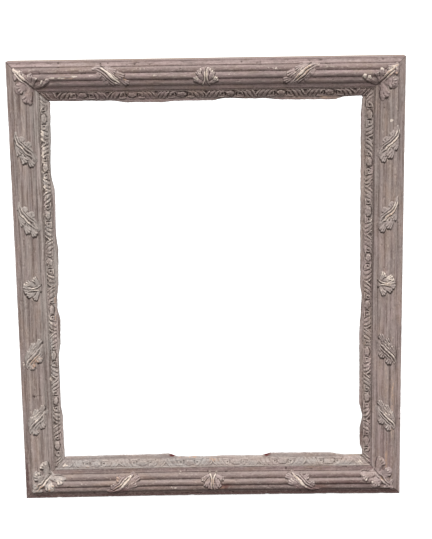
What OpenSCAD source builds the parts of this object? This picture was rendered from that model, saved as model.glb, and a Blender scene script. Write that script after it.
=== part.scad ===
// Carved and reeded picture frame, empty, for a picture on a wooden stretcher.
// X runs to the right across the front, Z up, and the front faces -Y.
// The origin is midway across and midway through the frame, on the surface it stands on.
// A side is built lying along X with its outer face at Z 0, and is then turned into its place.
// On a side, u is the distance in from the outer face and h the height in front of the outer arris.

/* [Picture] */
// Width of the stretched picture
picture_w = 762; // [700:1:1000]
// Height of the stretched picture
picture_h = 914; // [840:1:1200]
// Room around the picture in the rebate, on each side
picture_gap = 2; // [1:0.5:5]
// Width of the lip that laps over the picture's edge
rebate_lap = 8; // [6:0.5:12]

/* [Reeded moulding] */
// Thickness of the moulding at its outer arris
moulding_t = 27; // [24:0.5:34]
// Width of the band outside the reeds
outer_band_w = 14.2; // [12:0.1:18]
// Width of the flat fillet along the outer arris
arris_w = 4; // [3:0.1:5]
// Depth of the cove in the outer band
cove_d = 2.4; // [1:0.1:3.5]
// Width of the bead beside the first groove
band_bead_w = 3; // [2:0.1:4]
// Width of the outer reed
reed_1_w = 14.8; // [12:0.1:18]
// Width of the middle reed
reed_2_w = 16.8; // [12:0.1:20]
// Width of the inner reed
reed_3_w = 14.2; // [12:0.1:18]
// Height of each reed over the line between its grooves
reed_rise = 4.4; // [2.5:0.1:5.5]
// Height of the groove outside the outer reed
groove_1_h = 1.6; // [0:0.1:4]
// Height of the groove inside the outer reed
groove_2_h = 8; // [5:0.1:11]
// Height of the groove inside the middle reed
groove_3_h = 4.7; // [2:0.1:8]
// Height of the groove inside the inner reed
groove_4_h = -7.2; // [-10:0.1:-5]
// Width of the hollow band inside the reeds
inner_band_w = 12; // [9:0.1:16]
// Height of the inner edge of the hollow band
inner_band_h = -4.7; // [-6:0.1:-3]
// Depth of the hollow in the inner band
hollow_d = 0.9; // [0.4:0.1:1.5]

/* [Sight moulding] */
// Width of the carved slope
slope_w = 17.5; // [14:0.5:24]
// Width of the plain lip at the sight edge
lip_w = 8; // [5:0.5:12]
// Height of the outer edge of the carved slope
slope_h = -5.6; // [-8:0.1:-5]
// Height of the sight edge's front
lip_h = -18; // [-21:0.5:-15]
// Distance from one flower to the next along the carving
carving_pitch = 118; // [90:1:150]
// Distance from the frame's corner within which the carving has no flower
carving_margin = 130; // [125:1:150]
// Height of the carved ornament over its ground
carving_t = 1.8; // [0.8:0.1:3]
// Radius of a flower boss
flower_r = 5.2; // [3:0.1:6.5]

/* [Leaves] */
// Distance between the leaves along the top and bottom
rail_leaf_pitch = 225; // [180:1:240]
// Distance between the leaves along the left and right
stile_leaf_pitch = 171; // [140:1:174]
// Thickness of a leaf over the reeds
leaf_t = 2.8; // [1.5:0.1:4]
// Thickness of a leaf's raised midrib over the reeds
rib_t = 5; // [3:0.1:6]
// Width of a midrib
rib_w = 5; // [3:0.5:8]
// Length of a diagonal leaf along its side
diagonal_leaf_l = 86; // [60:1:96]
// Width of a diagonal leaf across its midrib
diagonal_leaf_w = 34; // [24:1:44]
// Width of a centre leaf at its inner, wide end
centre_leaf_w = 68; // [40:1:80]
// Width of a centre leaf at its outer, narrow end
centre_leaf_tip_w = 36; // [20:1:40]
// Reach of a corner leaf along each side, from the corner
corner_leaf_l = 105; // [90:1:112]

/* [Back frame] */
// Thickness of the back frame, which is the depth of the rebate
back_t = 18; // [16:1:26]
// Radius of the pegs through the corner laps
peg_r = 4; // [2.5:0.5:6]
// Distance of the pegs from the middle of a lap
peg_offset = 20; // [12:1:28]
// Gap left around pegs, screws and nails in their holes
hole_gap = 0.05; // [0.02:0.01:0.1]

/* [Screws and nails] */
// Radius of the shank of a moulding screw
screw_r = 2; // [1.5:0.1:3]
// Radius of the head of a moulding screw
screw_head_r = 4.2; // [3.5:0.1:6]
// Length of a moulding screw
screw_l = 32; // [26:1:38]
// Distance of the moulding screws from the outer face
screw_u = 18; // [15:1:20]
// Distance between the moulding screws along a side
screw_pitch = 290; // [240:5:340]
// Radius of a sight nail
nail_r = 0.9; // [0.6:0.1:1.4]
// Length of a sight nail
nail_l = 26; // [20:1:27]
// Distance between the sight nails along a side
nail_pitch = 200; // [150:2:240]

/* [Turn buttons] */
// Length of a turn button
button_l = 46; // [36:1:60]
// Width of a turn button
button_w = 13; // [10:0.5:15]
// Thickness of a turn button
button_t = 2.5; // [1.5:0.1:4]
// Distance from a button's screw to the edge of the rebate
button_setback = 14; // [9:0.5:17]
// Distance from a button's screw to the middle of its side
button_spread = 250; // [220:1:260]
// Radius of the shank of a turn button's screw
button_screw_r = 2; // [1.5:0.1:2.5]
// Radius of the head of a turn button's screw
button_head_r = 4; // [3:0.1:5]
// Height of the head of a turn button's screw
button_head_t = 2.2; // [1.5:0.1:3]
// Length of a turn button's screw inside the wood
button_screw_l = 13; // [10:1:15]
// Gap over and under a turn button, so that it turns
button_gap = 0.3; // [0.2:0.05:0.4]

/* [Hangers] */
// Height of the ring's pivot below the top of the frame
hanger_drop = 230; // [200:1:240]
// Distance of the hangers from the outer face
hanger_u = 38; // [32:1:40]
// Width of a hanger strap
strap_w = 14; // [12:0.5:16]
// Length of a hanger strap below the ring's pivot
strap_l = 46; // [44:1:60]
// Thickness of a hanger strap
strap_t = 1.5; // [1:0.1:2]
// Radius of the ring's wire
wire_r = 1.5; // [1.2:0.05:1.8]
// Running gap between the ring's bar and its knuckle
knuckle_gap = 0.05; // [0.02:0.01:0.1]
// Wall of the strap's knuckle
knuckle_wall = 1.45; // [1:0.05:2]
// Inner width of the hanging ring
ring_w = 20; // [18:0.5:26]
// Straight part of the ring's sides
ring_leg = 5; // [3:0.5:7]
// Gap between the hanging ring and its strap
ring_lift = 0.5; // [0.4:0.1:1]
// Radius of the shank of a hanger screw
hanger_screw_r = 1.7; // [1.2:0.1:2.2]
// Radius of the head of a hanger screw
hanger_head_r = 3.2; // [2.5:0.1:4]
// Height of the head of a hanger screw
hanger_head_t = 1.8; // [1:0.1:2.5]
// Length of a hanger screw inside the wood
hanger_screw_l = 13; // [10:1:15]
// Distance between the two screws of a hanger
hanger_screw_pitch = 12; // [9:0.5:14]

/* [Hidden] */

$fn = 48;
paint = [0.57, 0.50, 0.47];
paint_pale = [0.70, 0.62, 0.56];
bare_wood = [0.55, 0.43, 0.32];
brass_colour = [0.72, 0.58, 0.33];
steel_colour = [0.45, 0.44, 0.42];

reeded_w = outer_band_w + reed_1_w + reed_2_w + reed_3_w + inner_band_w;
sight_w = slope_w + lip_w;
face_w = reeded_w + sight_w;
back_w = face_w - rebate_lap;
frame_w = picture_w + 2 * (picture_gap + back_w);
frame_h = picture_h + 2 * (picture_gap + back_w);

// Points on an arc from p to q that stands proud of the line between them by rise
function arc(p, q, rise, n) =
    let (c = norm(q - p), r = (c * c / 4 + rise * rise) / (2 * abs(rise)))
    let (a = asin(c / 2 / r), along = (q - p) / c)
    let (proud = sign(rise) * [-along[1], along[0]])
    [for (i = [0:n]) let (f = a * (2 * i / n - 1))
        (p + q) / 2 + along * r * sin(f) + proud * (r * cos(f) - r + abs(rise))];

groove_1 = [outer_band_w, groove_1_h];
groove_2 = [groove_1[0] + reed_1_w, groove_2_h];
groove_3 = [groove_2[0] + reed_2_w, groove_3_h];
groove_4 = [groove_3[0] + reed_3_w, groove_4_h];
reed_steps = 8;
band_bead_rise = 1.1;
cove_end = [outer_band_w - band_bead_w, groove_1_h - 0.8];
reeded_face = concat(
    [[0, 0]],
    arc([arris_w, 0.3], cove_end, -cove_d, 6),
    arc(cove_end + [0.2, 0.3], groove_1, band_bead_rise, 4),
    arc(groove_1, groove_2, reed_rise, reed_steps),
    arc(groove_2, groove_3, reed_rise, reed_steps),
    arc(groove_3, groove_4, reed_rise, reed_steps),
    arc(groove_4, [reeded_w, inner_band_h], -hollow_d, 4));

// The sight moulding's face: a small bead, the carved slope, a step and the plain lip
sight_bead_w = 2.2;
slope_start = [reeded_w + sight_bead_w, slope_h - 1];
slope_end = [reeded_w + slope_w, lip_h + 2.2];
sight_face = concat(
    arc([reeded_w, slope_h], slope_start + [0, 0.6], 0.8, 4),
    arc(slope_start, slope_end, 1.4, 6),
    [slope_end + [0.4, -1], [face_w, lip_h]]);

front_reach = max([for (p = reeded_face) p[1]]) + rib_t;
rail_t = back_t + moulding_t;
knuckle_r = wire_r + knuckle_gap + knuckle_wall;
ring_axis_out = strap_t + ring_lift + wire_r;
back_reach = max(ring_axis_out + knuckle_r, 2 * button_gap + button_t + button_head_t);
arris_y = (front_reach - rail_t - back_reach) / 2;
back_y = arris_y + rail_t;

// Places a side's children: 0 the bottom, 1 the left, 2 the top, 3 the right
module on_side(i) {
    translate([0, arris_y, frame_h / 2])
        rotate([0, 90 * i, 0])
            translate([0, 0, -side_half(i + 1)])
                children();
}

function side_half(i) = i % 2 == 0 ? frame_w / 2 : frame_h / 2;

// Length of moulding along X with a given face, raised by a given height
module run(face, raise, half) {
    back = -moulding_t;
    shape = concat(
        [[-back, face[0][0]]],
        [for (p = face) [-p[1] - raise, p[0]]],
        [[-back, face[len(face) - 1][0]]]);
    translate([-half, 0, 0])
        rotate([90, 0, 90])
            linear_extrude(2 * half)
                polygon(shape);
}

// Flat outline in X and u, carried through the face from below to above the arris
module through_face(below = 22, above = 22) {
    translate([0, below, 0])
        rotate([90, 0, 0])
            linear_extrude(below + above)
                children();
}

// Cuts both ends of a side at 45 degrees, down to a given distance from the outer face
module mitred(half, depth) {
    intersection() {
        children();
        through_face(moulding_t + 1, moulding_t)
            polygon([[-half, 0], [half, 0], [half - depth, depth], [depth - half, depth]]);
    }
}

// Even places along a side, as many as fit between its ends
function places(half, pitch, margin) =
    let (n = floor((half - margin) / pitch))
    [for (i = [-n:n]) i * pitch];

function screw_places(half) = places(half, screw_pitch, face_w);

function nail_places(half) = places(half, nail_pitch, face_w);

nail_u = (reeded_w + back_w) / 2;

module along_y(r, y0, y1) {
    translate([0, y1, 0])
        rotate([90, 0, 0])
            cylinder(r = r, h = y1 - y0);
}

// The holes or shanks of one side's moulding screws and nails, from the back face inwards
module moulding_screw_shanks(half, r, extra) {
    for (x = screw_places(half))
        translate([x, 0, screw_u])
            along_y(r, rail_t - screw_l - extra, rail_t + extra);
}

module sight_nail_shanks(half, r, extra) {
    for (x = nail_places(half))
        translate([x, 0, nail_u])
            along_y(r, rail_t - nail_l - extra, rail_t + extra);
}

module reeded_moulding(i) {
    half = side_half(i);
    color(paint)
        on_side(i)
            difference() {
                mitred(half, reeded_w + 1)
                    run(reeded_face, 0, half);
                moulding_screw_shanks(half, screw_r + hole_gap, hole_gap);
            }
}

// Outlines of the carving: a forked leaf, a flower and the blades between them
fork_spread = 11;
blade_l = 15;
blade_w = 5.5;
blade_x = carving_pitch * 0.27;
carving_u = reeded_w + sight_bead_w + 1;
carving_end = reeded_w + slope_w - 1.4;
flower_u = carving_u + flower_r + 0.6;

module forked_leaf() {
    arm = 4.5;
    stem = 2.2;
    polygon([
        [-stem, carving_end], [-fork_spread, carving_u + 1], [arm - fork_spread, carving_u],
        [0, carving_u + 6], [fork_spread - arm, carving_u], [fork_spread, carving_u + 1],
        [stem, carving_end]]);
}

module blade() {
    lean = 5;
    polygon([
        [-blade_l / 2, carving_end], [-blade_l / 2 + lean, carving_end - blade_w],
        [blade_l / 2 + lean, carving_u], [blade_l / 2, carving_u + blade_w]]);
}

// Places half way between those of the forked leaves, where the flowers are
function flower_places(half) =
    let (limit = half - carving_margin, n = floor(limit / carving_pitch))
    [for (i = [-n - 1:n]) if (abs(i + 0.5) * carving_pitch < limit) (i + 0.5) * carving_pitch];

module carving(half) {
    for (x = places(half, carving_pitch, carving_margin)) {
        translate([x, 0])
            forked_leaf();
        for (e = [0, 1])
            translate([x, 0])
                mirror([e, 0, 0])
                    translate([blade_x, 0])
                        blade();
    }
    for (x = flower_places(half))
        translate([x, flower_u])
            circle(flower_r);
}

module sight_moulding(i) {
    half = side_half(i);
    color(paint_pale)
        on_side(i)
            difference() {
                mitred(half, face_w)
                    union() {
                        run(sight_face, 0, half);
                        intersection() {
                            through_face(moulding_t - 2, 0)
                                carving(half);
                            run(sight_face, carving_t, half);
                        }
                    }
                sight_nail_shanks(half, nail_r + hole_gap, hole_gap);
            }
}

// One member of the back frame with half of its thickness cut away at both ends
module back_member(i) {
    half = side_half(i);
    stile = i % 2;
    color(bare_wood)
        on_side(i)
            difference() {
                translate([-half, moulding_t, 0])
                    cube([2 * half, back_t, back_w]);
                for (e = [-1, 1])
                    translate([e * half - back_w, moulding_t + (stile ? -back_t / 2 : back_t / 2), -1])
                        cube([2 * back_w, back_t, back_w + 2]);
                moulding_screw_shanks(half, screw_r + hole_gap, hole_gap);
                moulding_screw_heads(half, hole_gap);
                sight_nail_shanks(half, nail_r + hole_gap, hole_gap);
                lap_pegs(half, peg_r + hole_gap, hole_gap);
                button_screw_shanks(half, button_screw_r + hole_gap, hole_gap);
                if (stile)
                    hanger_screw_shanks(i, hanger_screw_r + hole_gap, hole_gap);
            }
}

module lap_pegs(half, r, extra) {
    for (e = [-1, 1], d = [-1, 1])
        translate([e * (half - back_w / 2 + d * peg_offset), 0, back_w / 2 + d * peg_offset])
            along_y(r, moulding_t - extra, rail_t + extra);
}

module corner_pegs() {
    color(bare_wood)
        for (i = [0, 2])
            on_side(i)
                lap_pegs(frame_w / 2, peg_r, 0);
}

module moulding_screw_heads(half, gap) {
    head_t = screw_head_r - screw_r;
    for (x = screw_places(half))
        translate([x, rail_t + gap, screw_u])
            rotate([90, 0, 0])
                cylinder(r1 = screw_head_r + gap, r2 = screw_r + gap, h = head_t + gap);
}

// Straight slot across a screw's head, cut from its outer face
module slot(head_r, head_y, depth) {
    slot_w = 1;
    translate([-head_r - 1, head_y - depth, -slot_w / 2])
        cube([2 * head_r + 2, depth + 1, slot_w]);
}

module moulding_screws() {
    color(steel_colour)
        for (i = [0:3])
            on_side(i)
                difference() {
                    union() {
                        moulding_screw_shanks(side_half(i), screw_r, 0);
                        moulding_screw_heads(side_half(i), 0);
                    }
                    for (x = screw_places(side_half(i)))
                        translate([x, 0, screw_u])
                            rotate([0, 40 + x / 3, 0])
                                slot(screw_head_r, rail_t, 0.9);
                }
}

module sight_nails() {
    color(steel_colour)
        for (i = [0:3])
            on_side(i)
                sight_nail_shanks(side_half(i), nail_r, 0);
}

// Point at fraction s along a diagonal leaf's S-shaped midrib, from the outer tip to the inner end
leaf_start = [diagonal_leaf_l / 2, groove_1[0] + 4];
leaf_end = [-diagonal_leaf_l / 2, groove_4[0] + 2];
leaf_line = (leaf_end - leaf_start) / norm(leaf_end - leaf_start);
leaf_across = [-leaf_line[1], leaf_line[0]];
bend = 0.13;

function midrib(s) =
    [leaf_start[0] + (leaf_end[0] - leaf_start[0]) * s,
     leaf_start[1] + (leaf_end[1] - leaf_start[1]) * (s - bend * sin(360 * s))];

// Half width of a leaf with lobes, as a fraction of its full half width
function lobed(s, lobes) =
    (0.3 + 0.7 * sin(180 * s)) * (0.72 + 0.28 * abs(sin(180 * lobes * s)));

leaf_steps = 18;

module leaf_outline() {
    w = diagonal_leaf_w / 2;
    polygon([for (e = [1, -1], i = [0:leaf_steps])
        let (s = e > 0 ? i / leaf_steps : 1 - i / leaf_steps)
        midrib(s) + leaf_across * e * w * lobed(s, 3)]);
}

module rib_outline() {
    polygon([for (e = [1, -1], i = [0:leaf_steps])
        let (s = e > 0 ? i / leaf_steps : 1 - i / leaf_steps)
        midrib(s) + leaf_across * e * rib_w / 2 * (0.4 + 0.6 * sin(180 * s))]);
}

// Everything under an outline that lies over the reeds, to a given thickness
module layer(thickness, half) {
    intersection() {
        through_face()
            children();
        run(reeded_face, thickness, half);
    }
}

module leaf_body(half) {
    difference() {
        union() {
            layer(leaf_t, half)
                children(0);
            layer(rib_t, half)
                children(1);
        }
        run(reeded_face, 0, half + 1);
    }
}

module diagonal_leaf(i, x) {
    color(paint_pale)
        on_side(i)
            translate([x, 0, 0])
                mirror([x < 0 ? 1 : 0, 0, 0])
                    leaf_body(diagonal_leaf_l) {
                        leaf_outline();
                        rib_outline();
                    }
}

centre_start = groove_1[0] + 3;
centre_end = groove_4[0] + 4;

module centre_leaf_outline() {
    polygon([for (e = [1, -1], i = [0:leaf_steps])
        let (s = e > 0 ? i / leaf_steps : 1 - i / leaf_steps)
        let (w = centre_leaf_tip_w + (centre_leaf_w - centre_leaf_tip_w) * s)
        [e * w / 2 * (0.68 + 0.32 * abs(sin(180 * 2.5 * s))), centre_start + (centre_end - centre_start) * s]]);
}

module centre_rib_outline() {
    polygon([
        [-rib_w / 2, centre_start + 2], [rib_w / 2, centre_start + 2], [rib_w / 2, centre_end - 14],
        [rib_w * 1.4, centre_end - 2], [0, centre_end - 8], [-rib_w * 1.4, centre_end - 2],
        [-rib_w / 2, centre_end - 14]]);
}

module centre_leaf(i) {
    color(paint_pale)
        on_side(i)
            leaf_body(centre_leaf_w) {
                centre_leaf_outline();
                centre_rib_outline();
            }
}

// Half of a corner leaf's outline, on the side along X, from the outer tip to the mitre
corner_tip = 17;
corner_end = 61;

module corner_leaf_outline() {
    l = corner_leaf_l;
    polygon([
        [corner_tip, corner_tip], [30, 16], [44, 20], [52, 17], [62, 24], [73, 21], [80, 31],
        [l - 8, 36], [l, 46], [l - 10, 54], [l - 26, 52], [70, 60], [corner_end, corner_end]]);
}

module corner_rib_outline() {
    polygon([
        [corner_tip, corner_tip], [corner_tip + rib_w, corner_tip + 1],
        [corner_end + rib_w / 2, corner_end - rib_w / 2], [corner_end, corner_end]]);
}

module half_corner_leaf() {
    intersection() {
        leaf_body(corner_leaf_l + 10) {
            corner_leaf_outline();
            corner_rib_outline();
        }
        through_face(30, 30)
            polygon([[0, 0], [2 * corner_leaf_l, 0], [2 * corner_leaf_l, face_w], [face_w, face_w]]);
    }
}

module corner_leaf(right, top) {
    color(paint_pale)
        translate([0, arris_y, top ? frame_h : 0])
            mirror([0, 0, top])
                mirror([right, 0, 0])
                    translate([-frame_w / 2, 0, 0])
                        union() {
                            half_corner_leaf();
                            mirror([1, 0, -1])
                                half_corner_leaf();
                        }
}

button_u = back_w - button_setback;

// A turn button's place is the side it is on and which way from the middle
function button_side(i) = floor(i / 2);

module turn_button(i) {
    color(brass_colour)
        on_side(button_side(i))
            translate([(i % 2 ? 1 : -1) * button_spread, rail_t + button_gap, button_u])
                difference() {
                    union() {
                        translate([(button_w - button_l) / 2, 0, -button_w / 2])
                            cube([button_l - button_w, button_t, button_w]);
                        for (e = [-1, 1])
                            translate([e * (button_l - button_w) / 2, 0, 0])
                                along_y(button_w / 2, 0, button_t);
                    }
                    along_y(button_screw_r + hole_gap, -1, button_t + 1);
                }
}

module button_screw_shanks(half, r, extra) {
    for (e = [-1, 1])
        translate([e * button_spread, rail_t, button_u])
            along_y(r, -button_screw_l - extra, 2 * button_gap + button_t);
}

module turn_button_screws() {
    head_y = 2 * button_gap + button_t;
    color(brass_colour)
        for (i = [0:3])
            on_side(i) {
                button_screw_shanks(side_half(i), button_screw_r, 0);
                for (e = [-1, 1])
                    translate([e * button_spread, rail_t, button_u])
                        difference() {
                            along_y(button_head_r, head_y, head_y + button_head_t);
                            rotate([0, 25 + 40 * i, 0])
                                slot(button_head_r, head_y + button_head_t, 0.9);
                        }
            }
}

ring_reach = ring_leg + ring_w / 2 + 2 * wire_r;
hanger_screw_drop = ring_reach + 2 + hanger_head_r;
hanger_z = frame_h - hanger_drop;
hanger_x = frame_w / 2 - hanger_u;
knuckle_l = strap_w - 2;

// Shanks of a stile's hanger screws, in that side's own frame
module hanger_screw_shanks(i, r, extra) {
    down = i == 1 ? 1 : -1;
    for (n = [0, 1])
        translate([down * (frame_h / 2 - hanger_z + hanger_screw_drop + n * hanger_screw_pitch),
                   rail_t, hanger_u])
            along_y(r, -hanger_screw_l - extra, strap_t);
}

module on_hanger(right) {
    translate([(right ? 1 : -1) * hanger_x, back_y, hanger_z])
        children();
}

module hanger_strap(right) {
    color(brass_colour)
        on_hanger(right)
            difference() {
                union() {
                    translate([-strap_w / 2, 0, -strap_l])
                        cube([strap_w, strap_t, strap_l]);
                    translate([-knuckle_l / 2, ring_axis_out, 0])
                        rotate([0, 90, 0])
                            cylinder(r = knuckle_r, h = knuckle_l);
                }
                translate([-strap_w, ring_axis_out, 0])
                    rotate([0, 90, 0])
                        cylinder(r = wire_r + knuckle_gap, h = 2 * strap_w);
                for (n = [0, 1])
                    translate([0, 0, -hanger_screw_drop - n * hanger_screw_pitch])
                        along_y(hanger_screw_r + hole_gap, -1, strap_t + 1);
            }
}

module hanging_ring(right) {
    r = ring_w / 2 + wire_r;
    color(brass_colour)
        on_hanger(right)
            translate([0, ring_axis_out, 0]) {
                translate([-r, 0, 0])
                    rotate([0, 90, 0])
                        cylinder(r = wire_r, h = 2 * r);
                for (e = [-1, 1])
                    translate([e * r, 0, 0]) {
                        sphere(wire_r);
                        translate([0, 0, -ring_leg])
                            cylinder(r = wire_r, h = ring_leg);
                    }
                translate([0, 0, -ring_leg])
                    rotate([-90, 0, 0])
                        rotate_extrude(angle = 180)
                            translate([r, 0])
                                circle(wire_r);
            }
}

module hanger_screws() {
    color(brass_colour)
        for (i = [1, 3])
            on_side(i) {
                hanger_screw_shanks(i, hanger_screw_r, 0);
                down = i == 1 ? 1 : -1;
                for (n = [0, 1])
                    translate([down * (frame_h / 2 - hanger_z + hanger_screw_drop + n * hanger_screw_pitch),
                               rail_t, hanger_u])
                        difference() {
                            along_y(hanger_head_r, strap_t, strap_t + hanger_head_t);
                            rotate([0, 60 + 50 * n, 0])
                                slot(hanger_head_r, strap_t + hanger_head_t, 0.8);
                        }
            }
}

reeded_moulding(0);  // reeded_moulding_bottom
reeded_moulding(1);  // reeded_moulding_left
reeded_moulding(2);  // reeded_moulding_top
reeded_moulding(3);  // reeded_moulding_right
sight_moulding(0);  // sight_moulding_bottom
sight_moulding(1);  // sight_moulding_left
sight_moulding(2);  // sight_moulding_top
sight_moulding(3);  // sight_moulding_right
back_member(0);  // back_rail_bottom
back_member(1);  // back_stile_left
back_member(2);  // back_rail_top
back_member(3);  // back_stile_right
centre_leaf(0);  // centre_leaf_bottom
centre_leaf(1);  // centre_leaf_left
centre_leaf(2);  // centre_leaf_top
centre_leaf(3);  // centre_leaf_right
diagonal_leaf(0, -rail_leaf_pitch);  // diagonal_leaf_bottom_left
diagonal_leaf(0, rail_leaf_pitch);  // diagonal_leaf_bottom_right
diagonal_leaf(2, rail_leaf_pitch);  // diagonal_leaf_top_left
diagonal_leaf(2, -rail_leaf_pitch);  // diagonal_leaf_top_right
diagonal_leaf(1, -2 * stile_leaf_pitch);  // diagonal_leaf_left_1
diagonal_leaf(1, -stile_leaf_pitch);  // diagonal_leaf_left_2
diagonal_leaf(1, stile_leaf_pitch);  // diagonal_leaf_left_3
diagonal_leaf(1, 2 * stile_leaf_pitch);  // diagonal_leaf_left_4
diagonal_leaf(3, 2 * stile_leaf_pitch);  // diagonal_leaf_right_1
diagonal_leaf(3, stile_leaf_pitch);  // diagonal_leaf_right_2
diagonal_leaf(3, -stile_leaf_pitch);  // diagonal_leaf_right_3
diagonal_leaf(3, -2 * stile_leaf_pitch);  // diagonal_leaf_right_4
corner_leaf(0, 0);  // corner_leaf_bottom_left
corner_leaf(1, 0);  // corner_leaf_bottom_right
corner_leaf(0, 1);  // corner_leaf_top_left
corner_leaf(1, 1);  // corner_leaf_top_right
corner_pegs();
moulding_screws();
sight_nails();
turn_button(0);  // turn_button_1
turn_button(1);  // turn_button_2
turn_button(2);  // turn_button_3
turn_button(3);  // turn_button_4
turn_button(4);  // turn_button_5
turn_button(5);  // turn_button_6
turn_button(6);  // turn_button_7
turn_button(7);  // turn_button_8
turn_button_screws();
hanger_strap(0);  // hanger_strap_left
hanger_strap(1);  // hanger_strap_right
hanging_ring(0);  // hanging_ring_left
hanging_ring(1);  // hanging_ring_right
hanger_screws();
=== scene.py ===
"""The looks of a carved and reeded picture frame in old, worn paint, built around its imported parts.

Each side of the frame is carved lying flat: x runs along the side from its middle, u is the distance in
from the outer face and h the height in front of the outer arris, all in millimetres. It is then turned
into its place. Sides are numbered bottom, left, top, right, and values that differ from side to side are
given in that order.
"""
import math

import bpy
import numpy as np
from mathutils import Matrix, Vector


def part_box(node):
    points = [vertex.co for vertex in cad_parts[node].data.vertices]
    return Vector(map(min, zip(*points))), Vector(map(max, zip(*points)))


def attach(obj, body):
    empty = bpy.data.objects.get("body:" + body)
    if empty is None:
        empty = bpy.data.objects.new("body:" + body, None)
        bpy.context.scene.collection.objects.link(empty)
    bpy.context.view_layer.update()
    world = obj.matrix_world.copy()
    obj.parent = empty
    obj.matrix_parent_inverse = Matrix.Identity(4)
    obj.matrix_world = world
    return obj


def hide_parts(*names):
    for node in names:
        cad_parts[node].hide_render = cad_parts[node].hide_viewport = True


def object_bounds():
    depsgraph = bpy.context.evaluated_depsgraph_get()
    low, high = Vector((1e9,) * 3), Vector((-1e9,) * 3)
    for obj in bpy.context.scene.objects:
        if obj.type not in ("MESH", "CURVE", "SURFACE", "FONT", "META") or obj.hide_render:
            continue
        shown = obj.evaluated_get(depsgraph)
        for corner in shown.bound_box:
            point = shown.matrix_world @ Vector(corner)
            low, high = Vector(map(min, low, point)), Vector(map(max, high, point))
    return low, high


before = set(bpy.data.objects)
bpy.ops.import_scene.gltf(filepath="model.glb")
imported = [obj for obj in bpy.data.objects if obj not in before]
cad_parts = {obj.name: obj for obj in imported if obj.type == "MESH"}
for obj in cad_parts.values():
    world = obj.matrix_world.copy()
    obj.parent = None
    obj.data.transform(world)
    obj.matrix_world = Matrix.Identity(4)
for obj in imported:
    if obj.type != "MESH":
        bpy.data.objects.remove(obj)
cad_low, cad_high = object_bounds()

# Sizes that the frame gives, in millimetres
mm = 0.001
SIDES = ("bottom", "left", "top", "right")
bottom_low, bottom_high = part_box("reeded_moulding_bottom")
frame_w = (bottom_high.x - bottom_low.x) / mm
frame_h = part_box("reeded_moulding_left")[1].z / mm
reeded_w = bottom_high.z / mm
face_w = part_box("sight_moulding_bottom")[1].z / mm
back_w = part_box("back_rail_bottom")[1].z / mm
moulding_t = 27
arris_y = bottom_high.y / mm - moulding_t
front_h = arris_y - cad_low.y / mm

# The reeded moulding's section
groove_1 = (14.2, 1.6)
groove_2 = (29.0, 8.0)
groove_3 = (45.8, 4.7)
groove_4 = (60.8, -5.8)
band_end = (reeded_w, -8.6)
reed_rise = 4.4
arris_round = 0.9

# The sight moulding's section
slope_top = (74.4, -9.2)
slope_foot = (92.2, -16.4)
lip_h = -18.0
lip_start = 92.8
lip_round = 1.2
carving_pitch = 118.0

# How far the old mouldings have bowed inwards in the middle of each side
bow = (2.6, 0.6, 0.0, 0.8)

# How far apart the points of the carved surfaces are
reed_step = 1.5
carving_step = 0.9
leaf_step = 0.85

# The height of a leaf or blade where it isn't, and how far down the carving is followed
nowhere = -30.0
deepest = -6

# How far apart the sides and the leaves lie in the paint's pattern, so that no two look the same
side_apart = 3700
leaf_apart = 410


def half_length(side):
    return frame_w / 2 if side % 2 == 0 else frame_h / 2


def to_world(side, x, u, h):
    """Points of a side as points of the frame, in metres."""
    turn = side * math.pi / 2
    inwards = u + bow[side] * (1 - (x / half_length(side)) ** 2) - half_length(side + 1)
    across = x * math.cos(turn) + inwards * math.sin(turn)
    up = inwards * math.cos(turn) - x * math.sin(turn) + frame_h / 2
    return np.stack([across, arris_y - h, up], -1) * mm


def smooth(value, low, high):
    share = np.clip((value - low) / (high - low), 0, 1)
    return share * share * (3 - 2 * share)


def window(value, shut, opened, closing, closed):
    """1 between opened and closing, falling smoothly to 0 at shut and at closed."""
    return smooth(value, shut, opened) * (1 - smooth(value, closing, closed))


def drift(seed, x, y, step_x, step_y):
    """Smooth random values from -1 to 1 that change over step_x along x and step_y along y."""
    table = np.random.default_rng(seed).uniform(-1, 1, (512, 128))
    place_x, place_y = x / step_x + 300.37, y / step_y + 40.61
    ix, iy = np.floor(place_x).astype(int), np.floor(place_y).astype(int)
    fx, fy = smooth(place_x - ix, 0, 1), smooth(place_y - iy, 0, 1)
    low = table[ix % 512, iy % 128] * (1 - fx) + table[(ix + 1) % 512, iy % 128] * fx
    high = table[ix % 512, (iy + 1) % 128] * (1 - fx) + table[(ix + 1) % 512, (iy + 1) % 128] * fx
    return low * (1 - fy) + high * fy


def blurred(field, passes):
    """A grid of values, each averaged with its neighbours a number of times."""
    for _ in range(passes):
        wide = np.pad(field, 1, mode="edge")
        field = (wide[:-2, 1:-1] + 2 * wide[1:-1, 1:-1] + wide[2:, 1:-1]) / 4
        wide = np.pad(field, 1, mode="edge")
        field = (wide[1:-1, :-2] + 2 * wide[1:-1, 1:-1] + wide[1:-1, 2:]) / 4
    return field


def arc(start, end, rise, steps):
    """Points on an arc that stands proud of the line from start to end by rise."""
    start, end = np.array(start, float), np.array(end, float)
    chord = np.linalg.norm(end - start)
    radius = (chord * chord / 4 + rise * rise) / (2 * abs(rise))
    half_angle = math.asin(chord / 2 / radius)
    along = (end - start) / chord
    proud = np.array([-along[1], along[0]]) * np.sign(rise)
    angles = half_angle * np.linspace(-1, 1, steps + 1)[:, None]
    return (start + end) / 2 + along * radius * np.sin(angles) \
        + proud * (radius * np.cos(angles) - radius + abs(rise))


def joined(*runs):
    """One line of points from several, without the points that repeat."""
    points = np.concatenate([np.atleast_2d(run) for run in runs])
    keep = np.ones(len(points), bool)
    keep[1:] = np.linalg.norm(np.diff(points, axis=0), axis=1) > 0.05
    return points[keep]


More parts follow.
